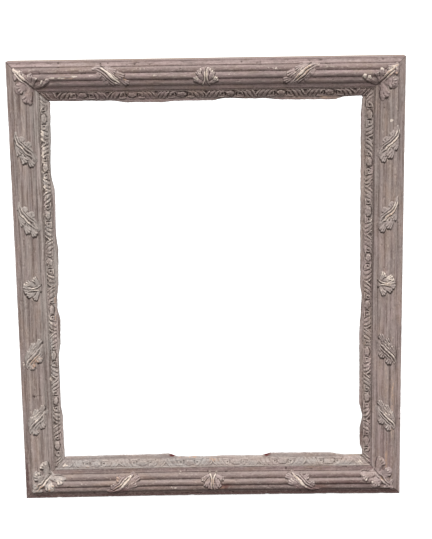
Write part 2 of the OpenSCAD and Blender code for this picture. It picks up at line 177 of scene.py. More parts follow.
# The faces of the two mouldings, and then their backs and edges, each from the outer side in
reeded_face = joined(
    arc((0, -arris_round), (arris_round, 0.05), 0.25, 3),
    arc((2.4, 0.2), (11.4, 0.8), -0.7, 8),
    arc((11.6, 1.2), groove_1, 0.9, 4),
    arc(groove_1, groove_2, reed_rise, 14),
    arc(groove_2, groove_3, reed_rise, 15),
    arc(groove_3, groove_4, reed_rise, 15),
    arc((61.6, -5.2), band_end, -0.5, 8))
sight_face = joined(
    arc((reeded_w, -9.0), (74.2, -8.8), 0.9, 4),
    arc(slope_top, slope_foot, 1.0, 26),
    np.stack([np.linspace(lip_start, face_w - lip_round, 5), np.linspace(-17.4, lip_h, 5)], -1),
    arc((face_w - lip_round, lip_h), (face_w, lip_h - lip_round), 0.35, 3))
reeded_back = np.array([
    (reeded_w, -moulding_t), (54, -moulding_t), (36, -moulding_t), (18, -moulding_t), (0, -moulding_t),
    (0, -22), (0, -17), (0, -12), (0, -8), (0, -5), (0, -3), (0, -1.8)], float)
sight_back = np.array([
    (face_w, -20.5), (face_w, -23), (face_w, -25.5), (face_w, -moulding_t), (back_w, -moulding_t),
    (80, -moulding_t), (reeded_w, -moulding_t), (reeded_w, -19), (reeded_w, -12)], float)


def reed_height(u):
    return np.interp(u, reeded_face[:, 0], reeded_face[:, 1])


# The line that a leaf follows over the bundle of reeds, without dipping into the grooves
bundle_u = np.arange(0, reeded_w + 0.5, 0.5)
bundle_h = blurred(reed_height(bundle_u)[:, None], 90)[:, 0]


def bundle_height(u):
    return np.interp(u, bundle_u, bundle_h)


def bent(start, bend, end):
    """Points along a line that leaves start towards bend and arrives at end from it."""
    share = np.linspace(0, 1, 13)[:, None]
    return (1 - share) ** 2 * np.array(start, float) + 2 * share * (1 - share) * np.array(bend, float) \
        + share ** 2 * np.array(end, float)


def rounded(points):
    """A line through a few points with its corners cut twice."""
    points = np.array(points, float)
    for _ in range(2):
        near, far = 0.75 * points[:-1] + 0.25 * points[1:], 0.25 * points[:-1] + 0.75 * points[1:]
        points = np.concatenate([points[:1], np.stack([near, far], 1).reshape(-1, 2)[1:-1], points[-1:]])
    return points


def beside(points, distances):
    """A line beside another one, at distances given for its start, first fifth, last fifth and end."""
    run = np.gradient(points, axis=0)
    normal = np.stack([-run[:, 1], run[:, 0]], -1) / np.linalg.norm(run, axis=1)[:, None]
    share = np.linspace(0, 1, len(points))
    return points + normal * np.interp(share, (0, 0.2, 0.8, 1), distances)[:, None]


# A vein and the two beside it, as shares of a ridge's half width
vein_w = 0.14
side_vein_at = 0.52
side_vein_w = 0.13


def ridge(x, u, points, widths, heights, vein=0.0):
    """How far a carved ridge along a line rises over its ground: rounded across, falling away past its edge.

    Widths and heights are those at its start, middle and end. A vein is cut along it, with a shallower
    one to each side.
    """
    rise = np.full(x.shape, nowhere)
    margin = max(widths)
    near = (x > points[:, 0].min() - margin) & (x < points[:, 0].max() + margin) \
        & (u > points[:, 1].min() - margin) & (u < points[:, 1].max() + margin)
    px, pu = x[near], u[near]
    if not px.size:
        return rise
    gap = np.full(px.shape, np.inf)
    place = np.zeros(px.shape)
    for k, (a, b) in enumerate(zip(points, points[1:])):
        d = b - a
        f = np.clip(((px - a[0]) * d[0] + (pu - a[1]) * d[1]) / (d @ d), 0, 1)
        away = np.hypot(px - a[0] - f * d[0], pu - a[1] - f * d[1])
        nearer = away < gap
        gap = np.where(nearer, away, gap)
        place = np.where(nearer, (k + f) / (len(points) - 1), place)
    across = gap / np.interp(place, (0, 0.5, 1), np.array(widths) / 2)
    veins = np.exp(-(across / vein_w) ** 2) + 0.7 * np.exp(-((across - side_vein_at) / side_vein_w) ** 2)
    round_top = 1 - 0.55 * across ** 2 - 0.45 * across ** 6
    rise[near] = np.interp(place, (0, 0.5, 1), heights) * round_top - vein * veins
    return rise


def linked(name, data):
    """A new object of the scene."""
    made = bpy.data.objects.new(name, data)
    bpy.context.scene.collection.objects.link(made)
    return made


def add_piece(node, points, faces, values, finish):
    """Makes a mesh piece that rides on the frame and stands for a node."""
    mesh = bpy.data.meshes.new("painted_" + node)
    mesh.from_pydata(points.tolist(), [], faces)
    for key, value in values.items():
        kind, field = ("FLOAT_VECTOR", "vector") if value.ndim == 2 else ("FLOAT", "value")
        mesh.attributes.new(key, kind, "POINT").data.foreach_set(field, value.astype(np.float32).ravel())
    mesh.shade_smooth()
    mesh.materials.append(finish)
    piece = linked("painted_" + node, mesh)
    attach(piece, "frame")
    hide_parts(node)


# Places on the real frame: side, x, u, half length, half width, strength
PALE_SPOTS = [
    (2, 364, 38, 7, 2, 1.1), (2, 341, 39, 9, 1.8, 1.0), (2, 311, 36, 9, 1.6, 1.0), (2, 272, 34, 8, 1.6, 0.7),
    (2, 120, 36, 6, 3, 0.5), (2, -60, 34, 14, 3, 0.3), (2, -160, 22, 18, 5, 0.3), (3, 398, 33, 4, 4, 1.2),
    (1, -378, 78, 7, 4, 1.3), (1, -364, 77, 5, 3, 1.3), (1, -342, 80, 7, 4, 0.9), (1, -326, 78, 8, 3, 1.5),
    (1, -309, 79, 6, 4, 1.5), (1, -286, 78, 5, 4, 1.7), (1, -268, 80, 6, 4, 1.6), (1, -249, 79, 5, 4, 1.5),
    (1, -238, 81, 5, 4, 1.2), (1, 235, 74, 7, 5, 1.2), (1, 196, 8, 9, 3, 0.7), (1, -60, 79, 30, 4, 0.3),
    (0, -258, 50, 4, 3, 0.55), (0, -330, 38, 14, 3, 0.4), (0, -100, 25, 12, 3, 0.4), (0, -81, 62, 4, 3, 0.6),
    (1, -100, 83, 460, 16, 0.24), (3, 0, 83, 340, 16, 0.14), (0, -372, 82, 7, 5, 0.8),
    (0, 110, 37, 20, 3, 0.3), (0, 372, 80, 8, 6, 0.6), (0, -200, 30, 30, 3, 0.2)]
BARE_SPOTS = [
    (3, -452, 34, 50, 7, 0.4), (2, 330, 40, 26, 2, 0.5), (2, -281, 95, 16, 4, 1.0), (0, -55, 97, 34, 4, 0.8),
    (0, 2, 90, 20, 6, 0.55), (0, -320, 76, 20, 3, 0.3), (1, 170, 46, 16, 8, 0.4), (1, 60, 14, 60, 3, 0.25),
    (3, -310, 20, 90, 8, 0.35), (3, -260, 40, 60, 8, 0.2), (0, 250, 70, 60, 2, 0.5), (1, 50, 92, 60, 5, 0.3),
    (3, -120, 95, 60, 6, 0.25), (0, 20, 24, 14, 6, 0.5)]
RED_SPOTS = [
    (0, -98, 101, 13, 4, 1.0), (0, 137, 100, 10, 4, 1.0), (3, -400, 90, 26, 12, 0.2),
    (0, 26, 26, 20, 9, 0.55), (0, -240, 20, 22, 7, 0.4), (0, 262, 20, 34, 8, 0.35), (0, 330, 36, 70, 6, 0.25),
    (3, -450, 40, 70, 24, 0.22)]
# Dark patches; the first two are painted shade along the left upright's outer edge by the bottom corner
SHADE_AND_DARK_SPOTS = [
    (1, 500, 3, 60, 6, 0.9), (1, 530, 8, 24, 10, 0.6), (1, 276, 33, 9, 6, 0.5), (3, 470, 55, 50, 14, 0.25),
    (1, 300, 67, 210, 8, 0.28)]
# Holes in the paint: side, x, u, radius
PITS = [
    (3, 451, 50, 2.4), (1, 276, 32, 3.0), (3, 428, 50, 1.4), (3, 420, 18, 1.4), (0, -205, 88, 1.6),
    (0, 78, 88, 1.5), (0, 262, 88, 1.6), (0, 290, 33, 1.2), (3, 150, 14, 1.3), (3, -350, 3, 1.5),
    (1, -120, 25, 1.1), (2, 60, 21, 1.1), (2, -300, 52, 1.2), (3, 40, 46, 1.1)]
pale_seed, bare_seed, red_seed, dark_seed = 40, 60, 80, 100


def spotted(spots, side, x, u, seed):
    """Strength of the worn spots of a side at its points, with ragged edges."""
    total = np.zeros(x.shape)
    for n, (where, sx, su, half_l, half_w, strength) in enumerate(spots):
        if where == side:
            gap = np.hypot((x - sx) / half_l, (u - su) / half_w)
            ragged = gap + 0.35 * drift(seed + n, x, u, 4, 2.5)
            total = np.maximum(total, strength * (1 - smooth(ragged, 0.4, 1.3)))
    return total


def pitted(side, x, u):
    total = np.zeros(x.shape)
    for where, px, pu, radius in PITS:
        if where == side:
            total = np.maximum(total, 1 - smooth(np.hypot(x - px, u - pu) / radius, 0.5, 1.4))
    return total


# Leaves are carved with lobes that spring from a double midrib. Each lobe is a bent line with its width,
# the height of its tip and its number of fingers.
# A diagonal leaf's own x runs towards the nearer corner, from the middle of the leaf.
DIAGONAL_MIDRIB = [(42, 17.5), (31, 16), (18, 21.5), (8, 30), (0, 38.5), (-8, 47), (-17, 54.5), (-25, 59)]
SHORT_MIDRIB = [(30, 19), (26, 18.5), (18, 22), (8, 30), (0, 38.5), (-8, 47), (-15, 53), (-22, 57)]
DIAGONAL_LOBES = [
    ((24, 16), (3, 15), (-12, 26), 13, 4.8, 3),
    ((10, 24), (-13, 26), (-31, 39), 16, 5.2, 3),
    ((-4, 39), (-23, 42), (-40, 54), 14, 4.6, 3)]
# The lobes on the side of a diagonal leaf that faces up on the upper half of the frame, where they are
# nearly worn away, and down on its lower half
WORN_LOBES = [
    ((-4, 44), (6, 42), (14, 50), 12, 2.6, 2),
    ((10, 31), (21, 28), (28, 34), 12, 2.6, 2)]
DEEP_LOBES = [
    ((-8, 48), (2, 42), (15, 52), 15, 5.0, 3),
    ((6, 34), (18, 26), (31, 34), 15, 5.0, 3)]
# Half of a centre leaf, in the x and u of its side
CENTRE_LOBES = [
    ((2.5, 44), (3.5, 30), (8, 19.5), 10, 4.6, 2),
    ((4, 50), (13, 42), (17, 26.5), 13, 5.0, 3),
    ((4, 54), (15, 55), (26, 44.5), 13, 5.0, 3)]
CENTRE_STEM = [(2.4, 22), (2.0, 32), (2.2, 44), (4.2, 53), (9, 60)]
# Half of a corner leaf, on the side along x, where x is the distance from the corner
STILE_CORNER_LOBES = [
    ((36, 34), (34, 26), (34, 20), 13, 4.2, 2),
    ((46, 44), (58, 40), (64, 28), 26, 6.0, 4),
    ((62, 57), (79, 56), (92, 45), 19, 5.2, 3),
    ((74, 60), (86, 60), (97, 55), 9, 2.8, 1)]
RAIL_CORNER_LOBES = [
    ((44, 42), (38, 30), (34, 22), 16, 4.8, 3),
    ((56, 54), (56, 40), (59, 29), 14, 5.2, 3),
    ((62, 60), (66, 48), (70, 36), 9, 4.4, 2),
    ((66, 63), (82, 60), (90, 47), 13, 5.0, 2),
    ((84, 56), (94, 54), (98, 44), 10, 5.0, 1)]
CORNER_MIDRIB = [(20, 16), (35, 30), (50, 45), (63, 58)]

# The two ribs of a diagonal leaf, the broad one and the second: heights, widths, and how far each lies
# from the midrib
broad_h, broad_w, broad_at = (3.4, 6.6, 2.8), (3.4, 9.2, 4.6), (0.8, 3.6, 3.6, 0.8)
second_h, second_w, second_at = (2.4, 5.8, 2.6), (2.6, 5.8, 3.6), (-0.8, -3.9, -3.9, -0.8)
# The ribs are slimmer on the uprights. Below its lobes a leaf is narrower and lower on the bottom.
stile_rib_share = 0.8
body_w = (20, 33, 33, 33)
bottom_body_drop = 1.0


def fan(x, u, start, bend, end, width, tip_h, fingers):
    """A broad lobe of a leaf: fingers spread from its middle and scallop its end."""
    centre = bent(start, bend, end)
    ahead = centre[-1] - centre[-3]
    ahead = ahead / np.linalg.norm(ahead)
    aside = np.array([-ahead[1], ahead[0]])
    rise = ridge(x, u, centre[:-1], (0.5 * width, 0.95 * width, 0.9 * width), (1.6, 2.6, 0.62 * tip_h))
    finger_w = 1.3 * width / fingers
    spread = np.linspace(0.03, 0.37, 9)[:, None]
    for place in np.linspace(-1, 1, fingers) if fingers > 1 else (0,):
        line = centre[4:] + aside * place * width * spread - ahead * place * place * width * 1.2 * spread ** 2
        heights = (2.0, 3.2, tip_h - 0.5 * abs(place))
        rise = np.maximum(rise, ridge(x, u, line, (0.5 * finger_w, 0.8 * finger_w, finger_w), heights))
    return rise


def lobe_rise(x, u, lobes):
    rise = np.full(x.shape, nowhere)
    for lobe in lobes:
        rise = np.maximum(rise, fan(x, u, *lobe))
    return rise


def with_ribs(body, *ribs):
    """Adds ribs to a leaf. Each has a weight that says how much of it is rubbed pale."""
    rise, crest = body, np.zeros(body.shape)
    for rib, weight in ribs:
        rise = np.maximum(rise, rib)
        crest = np.maximum(crest, weight * smooth(rib - body, 0.4, 2.4))
    return rise, crest


def diagonal_rise(x, u, side, short):
    midrib = rounded(SHORT_MIDRIB if short else DIAGONAL_MIDRIB)
    lobes = DIAGONAL_LOBES + (DEEP_LOBES if short or side == 0 else WORN_LOBES)
    spine = ridge(x, u, midrib, (7, body_w[side], 0.4 * body_w[side]), (1.2, 2.9, 1.2))
    body = np.maximum(lobe_rise(x, u, lobes), spine)
    if side == 0:
        body = body - bottom_body_drop
    for distance, height in ((8.6, 4.2), (-9.4, 4.0)):
        line = beside(midrib, (0.4 * distance, distance, distance, 0.6 * distance))[4:-5]
        body = np.maximum(body, ridge(x, u, line, (2.0, 3.8, 3.0), (2.0, height, 2.4)))
    near_middle = window(u, 12, 20, 50, 60)
    slim = 1.0 if side % 2 == 0 else stile_rib_share
    broad = ridge(x, u, beside(midrib, broad_at), np.array(broad_w) * slim, broad_h)
    second = ridge(x, u, beside(midrib, second_at), np.array(second_w) * slim, second_h)
    return with_ribs(body, (broad, near_middle), (second, 0.5 * near_middle))


def centre_rise(x, u):
    x = np.abs(x)
    spine = ridge(x, u, bent((0, 22), (0, 35), (0, 50)), (7, 11, 12), (1.2, 1.4, 1.0))
    body = np.maximum(lobe_rise(x, u, CENTRE_LOBES), spine)
    fork = np.hypot(x / 4.0, (u - 58) / 6.0)
    body -= 4 * (1 - smooth(fork, 0.5, 1.1))
    stem = ridge(x, u, rounded(CENTRE_STEM), (3.0, 4.6, 3.2), (3.4, 5.8, 3.2))
    return with_ribs(body, (stem, smooth(u, 22, 28)))


def corner_rise(x, u, rail_lobes):
    """The leaf turns the mitre, where x and u are equal, with lobes of its own on the rail and the stile."""
    along, across = np.maximum(x, u), np.minimum(x, u)
    spine = ridge(along, across, bent((21, 19), (41, 39), (64, 62)), (10, 16, 12), (1.2, 1.6, 1.2))
    line = rounded(CORNER_MIDRIB)
    lobes = np.where(x > u, *[lobe_rise(along, across, kind) for kind in (rail_lobes, STILE_CORNER_LOBES)])
    on_rail = ridge(along, across, line, (3.4, 7.8, 4.2), (2.6, 5.9, 2.8))
    on_stile = ridge(along, across, line, (2.6, 5.2, 3.2), (2.2, 5.0, 2.4))
    midrib = np.where(x > u, on_rail, on_stile)
    near_middle = window(along, 20, 30, 50, 62)
    outer_rib = ridge(along, across, beside(line, (1.5, 6.2, 6.2, 3.0)), (2.4, 4.4, 2.6), (2.4, 5.0, 2.2))
    return with_ribs(np.maximum(lobes, spine), (midrib, 0.6 * near_middle), (outer_rib, 0.45 * near_middle))


rail_leaf_pitch = 225
stile_leaf_pitch = 171


def side_leaves(side):
    """The diagonal leaves of a side: each one's name and the x of its middle."""
    if side % 2 == 0:
        ends = {-1: "left", 1: "right"} if side == 0 else {1: "left", -1: "right"}
        return [(f"diagonal_leaf_{SIDES[side]}_{ends[e]}", e * rail_leaf_pitch) for e in (-1, 1)]
    down = 1 if side == 1 else -1
    return [(f"diagonal_leaf_{SIDES[side]}_{n + 1}", down * step * stile_leaf_pitch)
            for n, step in enumerate((-2, -1, 1, 2))]


def is_short(side, middle):
    """The diagonal leaves on the lower half of the uprights end without a long tail."""
    return side % 2 == 1 and middle * (2 - side) > 0


def leaves_over(side, x, u):
    """How far the leaves of a side rise over its points."""
    rise = centre_rise(x, u)[0]
    for _, middle in side_leaves(side):
        leaf, _ = diagonal_rise((x - middle) * np.sign(middle), u, side, is_short(side, middle))
        rise = np.maximum(rise, leaf)
    rail_lobes = RAIL_CORNER_LOBES if SIDES[side] == "top" else STILE_CORNER_LOBES
    return np.maximum(rise, corner_rise(half_length(side) - np.abs(x), u, rail_lobes)[0])


# The way up the standing frame from a point of each side
UPWARDS = ((0, 1), (-1, 0), (0, -1), (1, 0))


def shade_round_leaves(side, x, u):
    """Painted shade round the leaves of a side, from 0 to 1: a little all round and most of it right below
    them, where their shadow falls.
    """
    up_x, up_u = UPWARDS[side]
    below = np.maximum(*[leaves_over(side, x + reach * up_x, u + reach * up_u) for reach in (1.8, 4.0)])
    return np.maximum(0.05 * smooth(leaves_over(side, x, u), -9, -0.5), smooth(below, 0.8, 3.0))


def shade_below(rise, up):
    """Painted shadow on a leaf's points right below something taller. Up is the way up along the grid's axes.
    """
    steps = [round(reach / leaf_step) for reach in (1.7, 3.4)]
    taller = [np.roll(rise, (-step * up[0], -step * up[1]), (0, 1)) for step in steps]
    return smooth(np.maximum(*taller) - rise, 1.3, 4.5)


def spaced(half, step):
    """Places from -1 to 1 along a side, evenly spaced, with a few more close to the mitres."""
    count = int(2 * half / step)
    even = np.linspace(-1, 1, count + 1)
    close = 1 - np.array([0.35, 0.8, 1.6]) / half
    return np.sort(np.concatenate([even, close, -close]))


# How each side has darkened or paled across it, partly in its old paint and partly as painted shade and
# painted light, such as the dark outer arris of the bottom: distance in, share of dark wash and painted
# shade, share of dust and painted light
TONES = (
    # bottom
    [(0, 1.2, 0), (5, 1.25, 0), (8, 0.9, 0), (12, 0.5, 0), (14, 0.8, 0), (22, 0.5, 0), (26, 0.45, 0),
     (32, 0.85, 0), (38, 0.35, 0), (42, 0.0, 0.1), (47, 0.6, 0), (52, 0.6, 0), (57, 0.2, 0), (62, 0.25, 0),
     (67, 0.45, 0), (70, 0.2, 0), (73, 0, 0.7), (76, 0, 0.6), (84, 0, 0.85), (98, 0, 0.4)],
    # left
    [(0, 0, 0.2), (14, 0, 0.45), (28, 0, 0.45), (56, 0, 0.5), (60, 0, 1.4), (68, 0, 1.7), (72, 0, 1.3),
     (98, 0, 1.4)],
    # top
    [(0, 0.2, 0), (2.5, 0.25, 0), (4, 0, 1.0), (10, 0, 1.0), (12, 0.35, 0.1), (15, 0.3, 0), (18, 0.3, 0),
     (26, 0.55, 0), (30, 0.1, 0), (33, 0.0, 0.1), (38, 0.05, 0.1), (44, 0.25, 0), (49, 0.55, 0), (52, 0.1, 0),
     (58, 0.1, 0), (62, 0.2, 0), (66, 0, 0), (72, 0.45, 0), (78, 0.25, 0), (86, 0.6, 0), (91, 0.1, 0),
     (98, 0.0, 0)],
    # right
    [(0, 0, 0.3), (14, 0, 0.4), (22, 0, 0.2), (32, 0, 0.35), (44, 0, 0.2), (52, 0, 0.35), (58, 0, 0.25),
     (62, 0, 0.35), (68, 0, 0.5), (72, 0, 0.15), (78, 0, 0.35), (98, 0, 0.45)])
# Dirt and painted shade in the grooves and in the hollows of the carving, painted shade below the leaves,
# dirt in the joint between the two mouldings, and dirt in the mitres at the end of each side that x runs
# towards and at its other end
groove_dirt_and_shade = (0.85, 0.05, 0.6, 0.15)
carving_dirt_and_shade = (0.35, 0.65, 0.78, 0.7)
leaf_shade_strength = (0.9, 1.12, 0.9, 1.12)
joint_dirt = (0.2, 0.4, 0.8, 0.95)
mitre_dirt = ((1.0, 0.5), (0.5, 0.8), (0.8, 0.4), (0.4, 1.0))
# How wide that dirt is, and how wide and deep a mitre has opened
joint_dirt_w = 1.5
mitre_dirt_w = 1.1
mitre_gap = 0.9
# How high over its surroundings a ridge stands when it is rubbed fully pale
ridge_h = 0.9
# How deep the carving is left, and how strong the strokes of the tool across it are
carving_depth = (0.55, 1.15, 1.05, 1.15)
stroke_depth = (0.5, 0.3, 0.1, 0.3)
# The shares of rose paint and of brown streaks, and how much redder each side gets in the way x runs
reed_rose = (0.35, 0.2, 0.75, 0.3)
carving_rose = (-0.3, 0.1, 0.4, 0.2)
redder_along = (0.4, 0.0, 0.0, -0.25)
streakiness = (0.4, 0.9, 0.4, 0.8)


def moulding(node, side, kind):
    """A length of moulding with mitred ends: its face is shaped, and its back and edges are closed."""
    half = half_length(side)
    section = np.concatenate([kind["face"], kind["back"]])
    rows = len(kind["face"])
    places = spaced(half, kind["step"])
    straight_u, h = (np.tile(column, (len(places), 1)) for column in section.T)
    x = places[:, None] * (half - straight_u)
    u = straight_u.copy()
    grime_and_shade, bare = kind["shape"](side, x, u, h, rows)
    from_mitre = (half - straight_u - np.abs(x)) / math.sqrt(2)
    h[:, :rows] -= mitre_gap * np.exp(-(from_mitre[:, :rows] / mitre_gap) ** 2)
    index = np.arange(x.size).reshape(x.shape)
    wrapped = np.roll(index, -1, axis=1)
    quads = np.stack([index[:-1], index[1:], wrapped[1:], wrapped[:-1]], -1).reshape(-1, 4)
    faces = quads.tolist() + [index[0].tolist(), index[-1][::-1].tolist()]

    marks = np.zeros(x.shape)
    marks[:, :rows] = np.clip((h[:, :rows] - blurred(h[:, :rows], 10)) / ridge_h, -1, 1)
    in_joint = joint_dirt[side] * np.exp(-((u - reeded_w) / joint_dirt_w) ** 2)
    in_mitre = np.where(x > 0, *mitre_dirt[side]) * np.exp(-(from_mitre / mitre_dirt_w) ** 2)
    where, wash, dust = np.array(TONES[side], float).T
    redder = redder_along[side] * x / half
    rose = kind["rose"][side] + redder + kind["rose_drift"] * drift(90 + side, x, u, 60, 12)
    values = {
        # Hollows painted dark, as dirt and painted shade, by side
        "hollow": np.where(marks < 0, marks * kind["dirt_and_shade"][side], marks),
        "grime_and_shade": np.maximum(np.maximum(grime_and_shade, in_joint), in_mitre),
        "cream": spotted(PALE_SPOTS, side, x, u, pale_seed),
        "bare": np.maximum(spotted(BARE_SPOTS, side, x, u, bare_seed), bare),
        "red": spotted(RED_SPOTS, side, x, u, red_seed),
        # Dark wash and painted shade, and dust and painted light, as the side's tones give them
        "wash": np.interp(u, where, wash) * (1 + 0.6 * redder) + spotted(SHADE_AND_DARK_SPOTS, side, x, u, dark_seed),
        "dust": np.interp(u, where, dust),
        "streak": np.full(x.shape, streakiness[side]),
        "rose": rose}
    flat = {key: value.ravel() for key, value in values.items()}
    flat["along"] = np.stack([x.ravel() + side_apart * side, u.ravel(), h.ravel()], -1) * mm
    points = to_world(side, x.ravel(), u.ravel(), h.ravel())
    add_piece(node, points, faces, flat, kind["finish"])


def worn_reeds(side, x, u, h, rows):
    """Old reeds: uneven along their length, nicked at the crests and dented along the arris.

    Shapes change u and h in place. They give the dirt and painted shade of the points and the share of bare
    wood.
    """
    face_x, face_u = x[:, :rows], u[:, :rows]
    seed = 10 * side
    lumps = 0.42 * drift(seed + 1, face_x, face_u, 34, 9) + 0.26 * drift(seed + 2, face_x, face_u, 11, 4)
    tooling = 0.12 * drift(seed + 3, face_x, face_u, 5, 2)
    nick = 0.9 * smooth(drift(seed + 4, face_x, face_u, 9, 4.5), 0.62, 0.95)
    cover = shade_round_leaves(side, face_x, face_u)
    cut_away = 0.8 * cover * smooth(lumps, -0.6, 0.4)
    pits = pitted(side, face_x, face_u)
    inside = window(face_u, 1.5, 4, reeded_w - 3, reeded_w - 1)
    split_at = groove_2[0] + 1.2 * drift(seed + 5, face_x, 0 * face_x, 90, 1)
    split = 0.5 * np.exp(-((face_u - split_at) / 0.8) ** 2)
    h[:, :rows] += inside * (lumps + tooling - nick - split - cut_away) - 1.8 * pits
    wide_dents = smooth(drift(seed + 6, x, 0 * x, 16, 1), 0.25, 0.95)
    dents = wide_dents + 0.35 * smooth(drift(seed + 7, x, 0 * x, 5, 1), 0.0, 0.9)
    at_arris = np.exp(-(np.hypot(u, np.minimum(h, 0)) / 2.2) ** 2)
    u += 1.0 * dents * at_arris
    h -= 1.1 * dents * at_arris
    grime_and_shade = np.zeros(x.shape)
    # Painted shade below and round the leaves, and dark holes in the paint
    grime_and_shade[:, :rows] = np.maximum(leaf_shade_strength[side] * cover, pits)
    return grime_and_shade, np.zeros(x.shape)


# One half of a repeat of the carving, with x from the middle of the fork and v in from the top of the
# slope. Blades are bent lines with their widths and heights. Trenches are cut, each with its depth.
BLADES = [
    (((11, 1.2), (4.5, 6), (0.9, 13.5)), (3.6, 4.4, 3.4), (1.6, 2.2, 1.8)),
    (((0, 11), (0, 14), (0, 17)), (3.8, 4.4, 5.0), (1.4, 1.8, 1.2)),
    (((21.5, 1.6), (12, 6), (8.5, 16.5)), (4.4, 8.0, 5.4), (1.4, 2.2, 1.5)),
    (((31.5, 1.8), (23, 6), (19.5, 16)), (4.4, 8.0, 6.0), (1.4, 2.2, 1.5)),
    (((28.5, 15.6), (35, 17.8), (43, 15.4)), (3.0, 4.6, 2.8), (1.4, 2.0, 1.2)),
    (((33.5, 11), (32.5, 2.6), (43.5, 2.4)), (3.4, 5.4, 3.4), (1.6, 2.4, 1.4)),
    (((52.5, 17.2), (59, 18.6), (65.5, 17.2)), (2.0, 2.8, 2.0), (1.0, 1.6, 1.0))]
TRENCHES = [
    (((44, 4.6), (46, 8.6), (44.6, 13)), (2.6, 5.2, 3.0), 3.2),
    (((37.4, 10), (38.6, 8), (40, 9.6)), (2.6, 4.4, 2.6), 3.0),
    (((25.5, 17.4), (27.5, 10), (31, 4)), (1.8, 2.6, 1.8), 1.8)]
# A flower between two repeats: x, v, half length and half width
FLOWER = np.array([59.0, 8.8, 10.4, 6.4])
# The carving stops this far from the corner, where blades along the mitre take its place. Their x is the
# distance from the corner.
corner_carving = 108.0
MITRE_BLADES = [
    (((74.5, 74.5), (83, 83), (91.5, 91.5)), (2.6, 4.2, 3.2), (1.4, 2.2, 1.6)),
    (((82, 75.5), (87, 80), (97.5, 91)), (3.0, 5.4, 3.6), (1.2, 2.0, 1.4)),
    (((92, 75.5), (96, 80), (106, 91)), (3.0, 5.4, 3.6), (1.2, 2.0, 1.4))]
blade_vein = 0.35
blade_shift = (2.4, 0.7)
fork_depth = 1.8


def carved_rise(side, x, u):
    """How far the running carving rises over its ground, and how deep its trenches are."""
    half = half_length(side)
    limit = half - corner_carving
    v0 = slope_top[0]
    rise = np.full(x.shape, nowhere)
    sunk = np.zeros(x.shape)
    random = np.random.default_rng(300 + side)
    count = int(half / carving_pitch) + 1
    for n in range(-count, count + 1):
        start = n * carving_pitch
        for way in (-1, 1):
            for line, widths, heights in BLADES:
                by_x, by_v = random.uniform(-0.7, 0.7, 2)
                taller = random.uniform(0.7, 1.2)
                if abs(start + way * line[1][0]) > limit:
                    continue
                placed = [(start + way * px + blade_shift[0] * by_x, v0 + pv + blade_shift[1] * by_v)
                          for px, pv in line]
                blade = ridge(x, u, bent(*placed), widths, np.array(heights) * taller, vein=blade_vein)
                rise = np.maximum(rise, blade)
            for line, widths, depth in TRENCHES:
                if abs(start + way * line[1][0]) < limit:
                    placed = [(start + way * px, v0 + pv) for px, pv in line]
                    sunk = np.maximum(sunk, ridge(x, u, bent(*placed), widths, (depth, depth, depth)))
        _, flower_v, half_l, half_w = FLOWER * random.uniform(0.88, 1.1, 4)
        flower_x = start + FLOWER[0] + random.uniform(-2, 2)
        if abs(flower_x) < limit:
            dx, dv = (x - flower_x) / half_l, (u - v0 - flower_v) / half_w
            away = np.hypot(dx, dv)
            petals = 0.1 * np.cos(5 * np.arctan2(dv, dx) + n) * smooth(away, 0.3, 0.7)
            dome = 2.6 * (1 - (away + petals) ** 4) - 0.8 * np.exp(-((away - 0.4) / 0.14) ** 2)
            rise = np.maximum(rise, np.where(away < 1.6, dome, nowhere))
            ring = 2.0 * smooth(np.cos(np.arctan2(dv, dx) - random.uniform(-3, 3)), -0.9, 0.6)
            sunk = np.maximum(sunk, ring * np.exp(-((away - 1.2) / 0.24) ** 2))
        fork = np.hypot((x - start) / 5.0, (u - v0 - 2.6) / 5.0) + 0.2 * drift(317, x, u, 3, 3)
        sunk = np.maximum(sunk, fork_depth * (1 - smooth(fork, 0.3, 1.2)))
    from_corner = half - np.abs(x)
    for line, widths, heights in MITRE_BLADES:
        rise = np.maximum(rise, ridge(from_corner, u, bent(*line), widths, heights, vein=blade_vein))
    return rise, sunk


# Where the broken and mended inner edge of each side runs: x along it and its distance from the outer face
LIP_EDGES = (
    # bottom
    [(-400, 100), (-130, 102), (-112, 103), (-86, 95), (-20, 94), (30, 96), (122, 95), (148, 102), (300, 101),
     (345, 93), (375, 90), (400, 90)],
    # left
    [(-460, 99), (-374, 97), (-300, 93), (-268, 94), (-240, 101), (-124, 99), (-89, 103), (-4, 100), (27, 96),
     (57, 95), (88, 101), (150, 99), (181, 93), (243, 91), (306, 92), (338, 97), (460, 98)],
    # top
    [(-400, 100), (-374, 100), (-371, 94), (-326, 95), (-308, 101), (-180, 100), (-151, 97), (-40, 95),
     (-15, 99), (77, 99), (106, 102), (192, 101), (221, 97), (335, 96), (400, 95)],
    # right
    [(-460, 92), (-440, 93), (-425, 99), (-380, 100), (-348, 93), (-316, 101), (-129, 102), (-68, 98),
     (-37, 97), (-7, 101), (203, 102), (406, 103), (430, 101), (448, 100), (460, 100)])


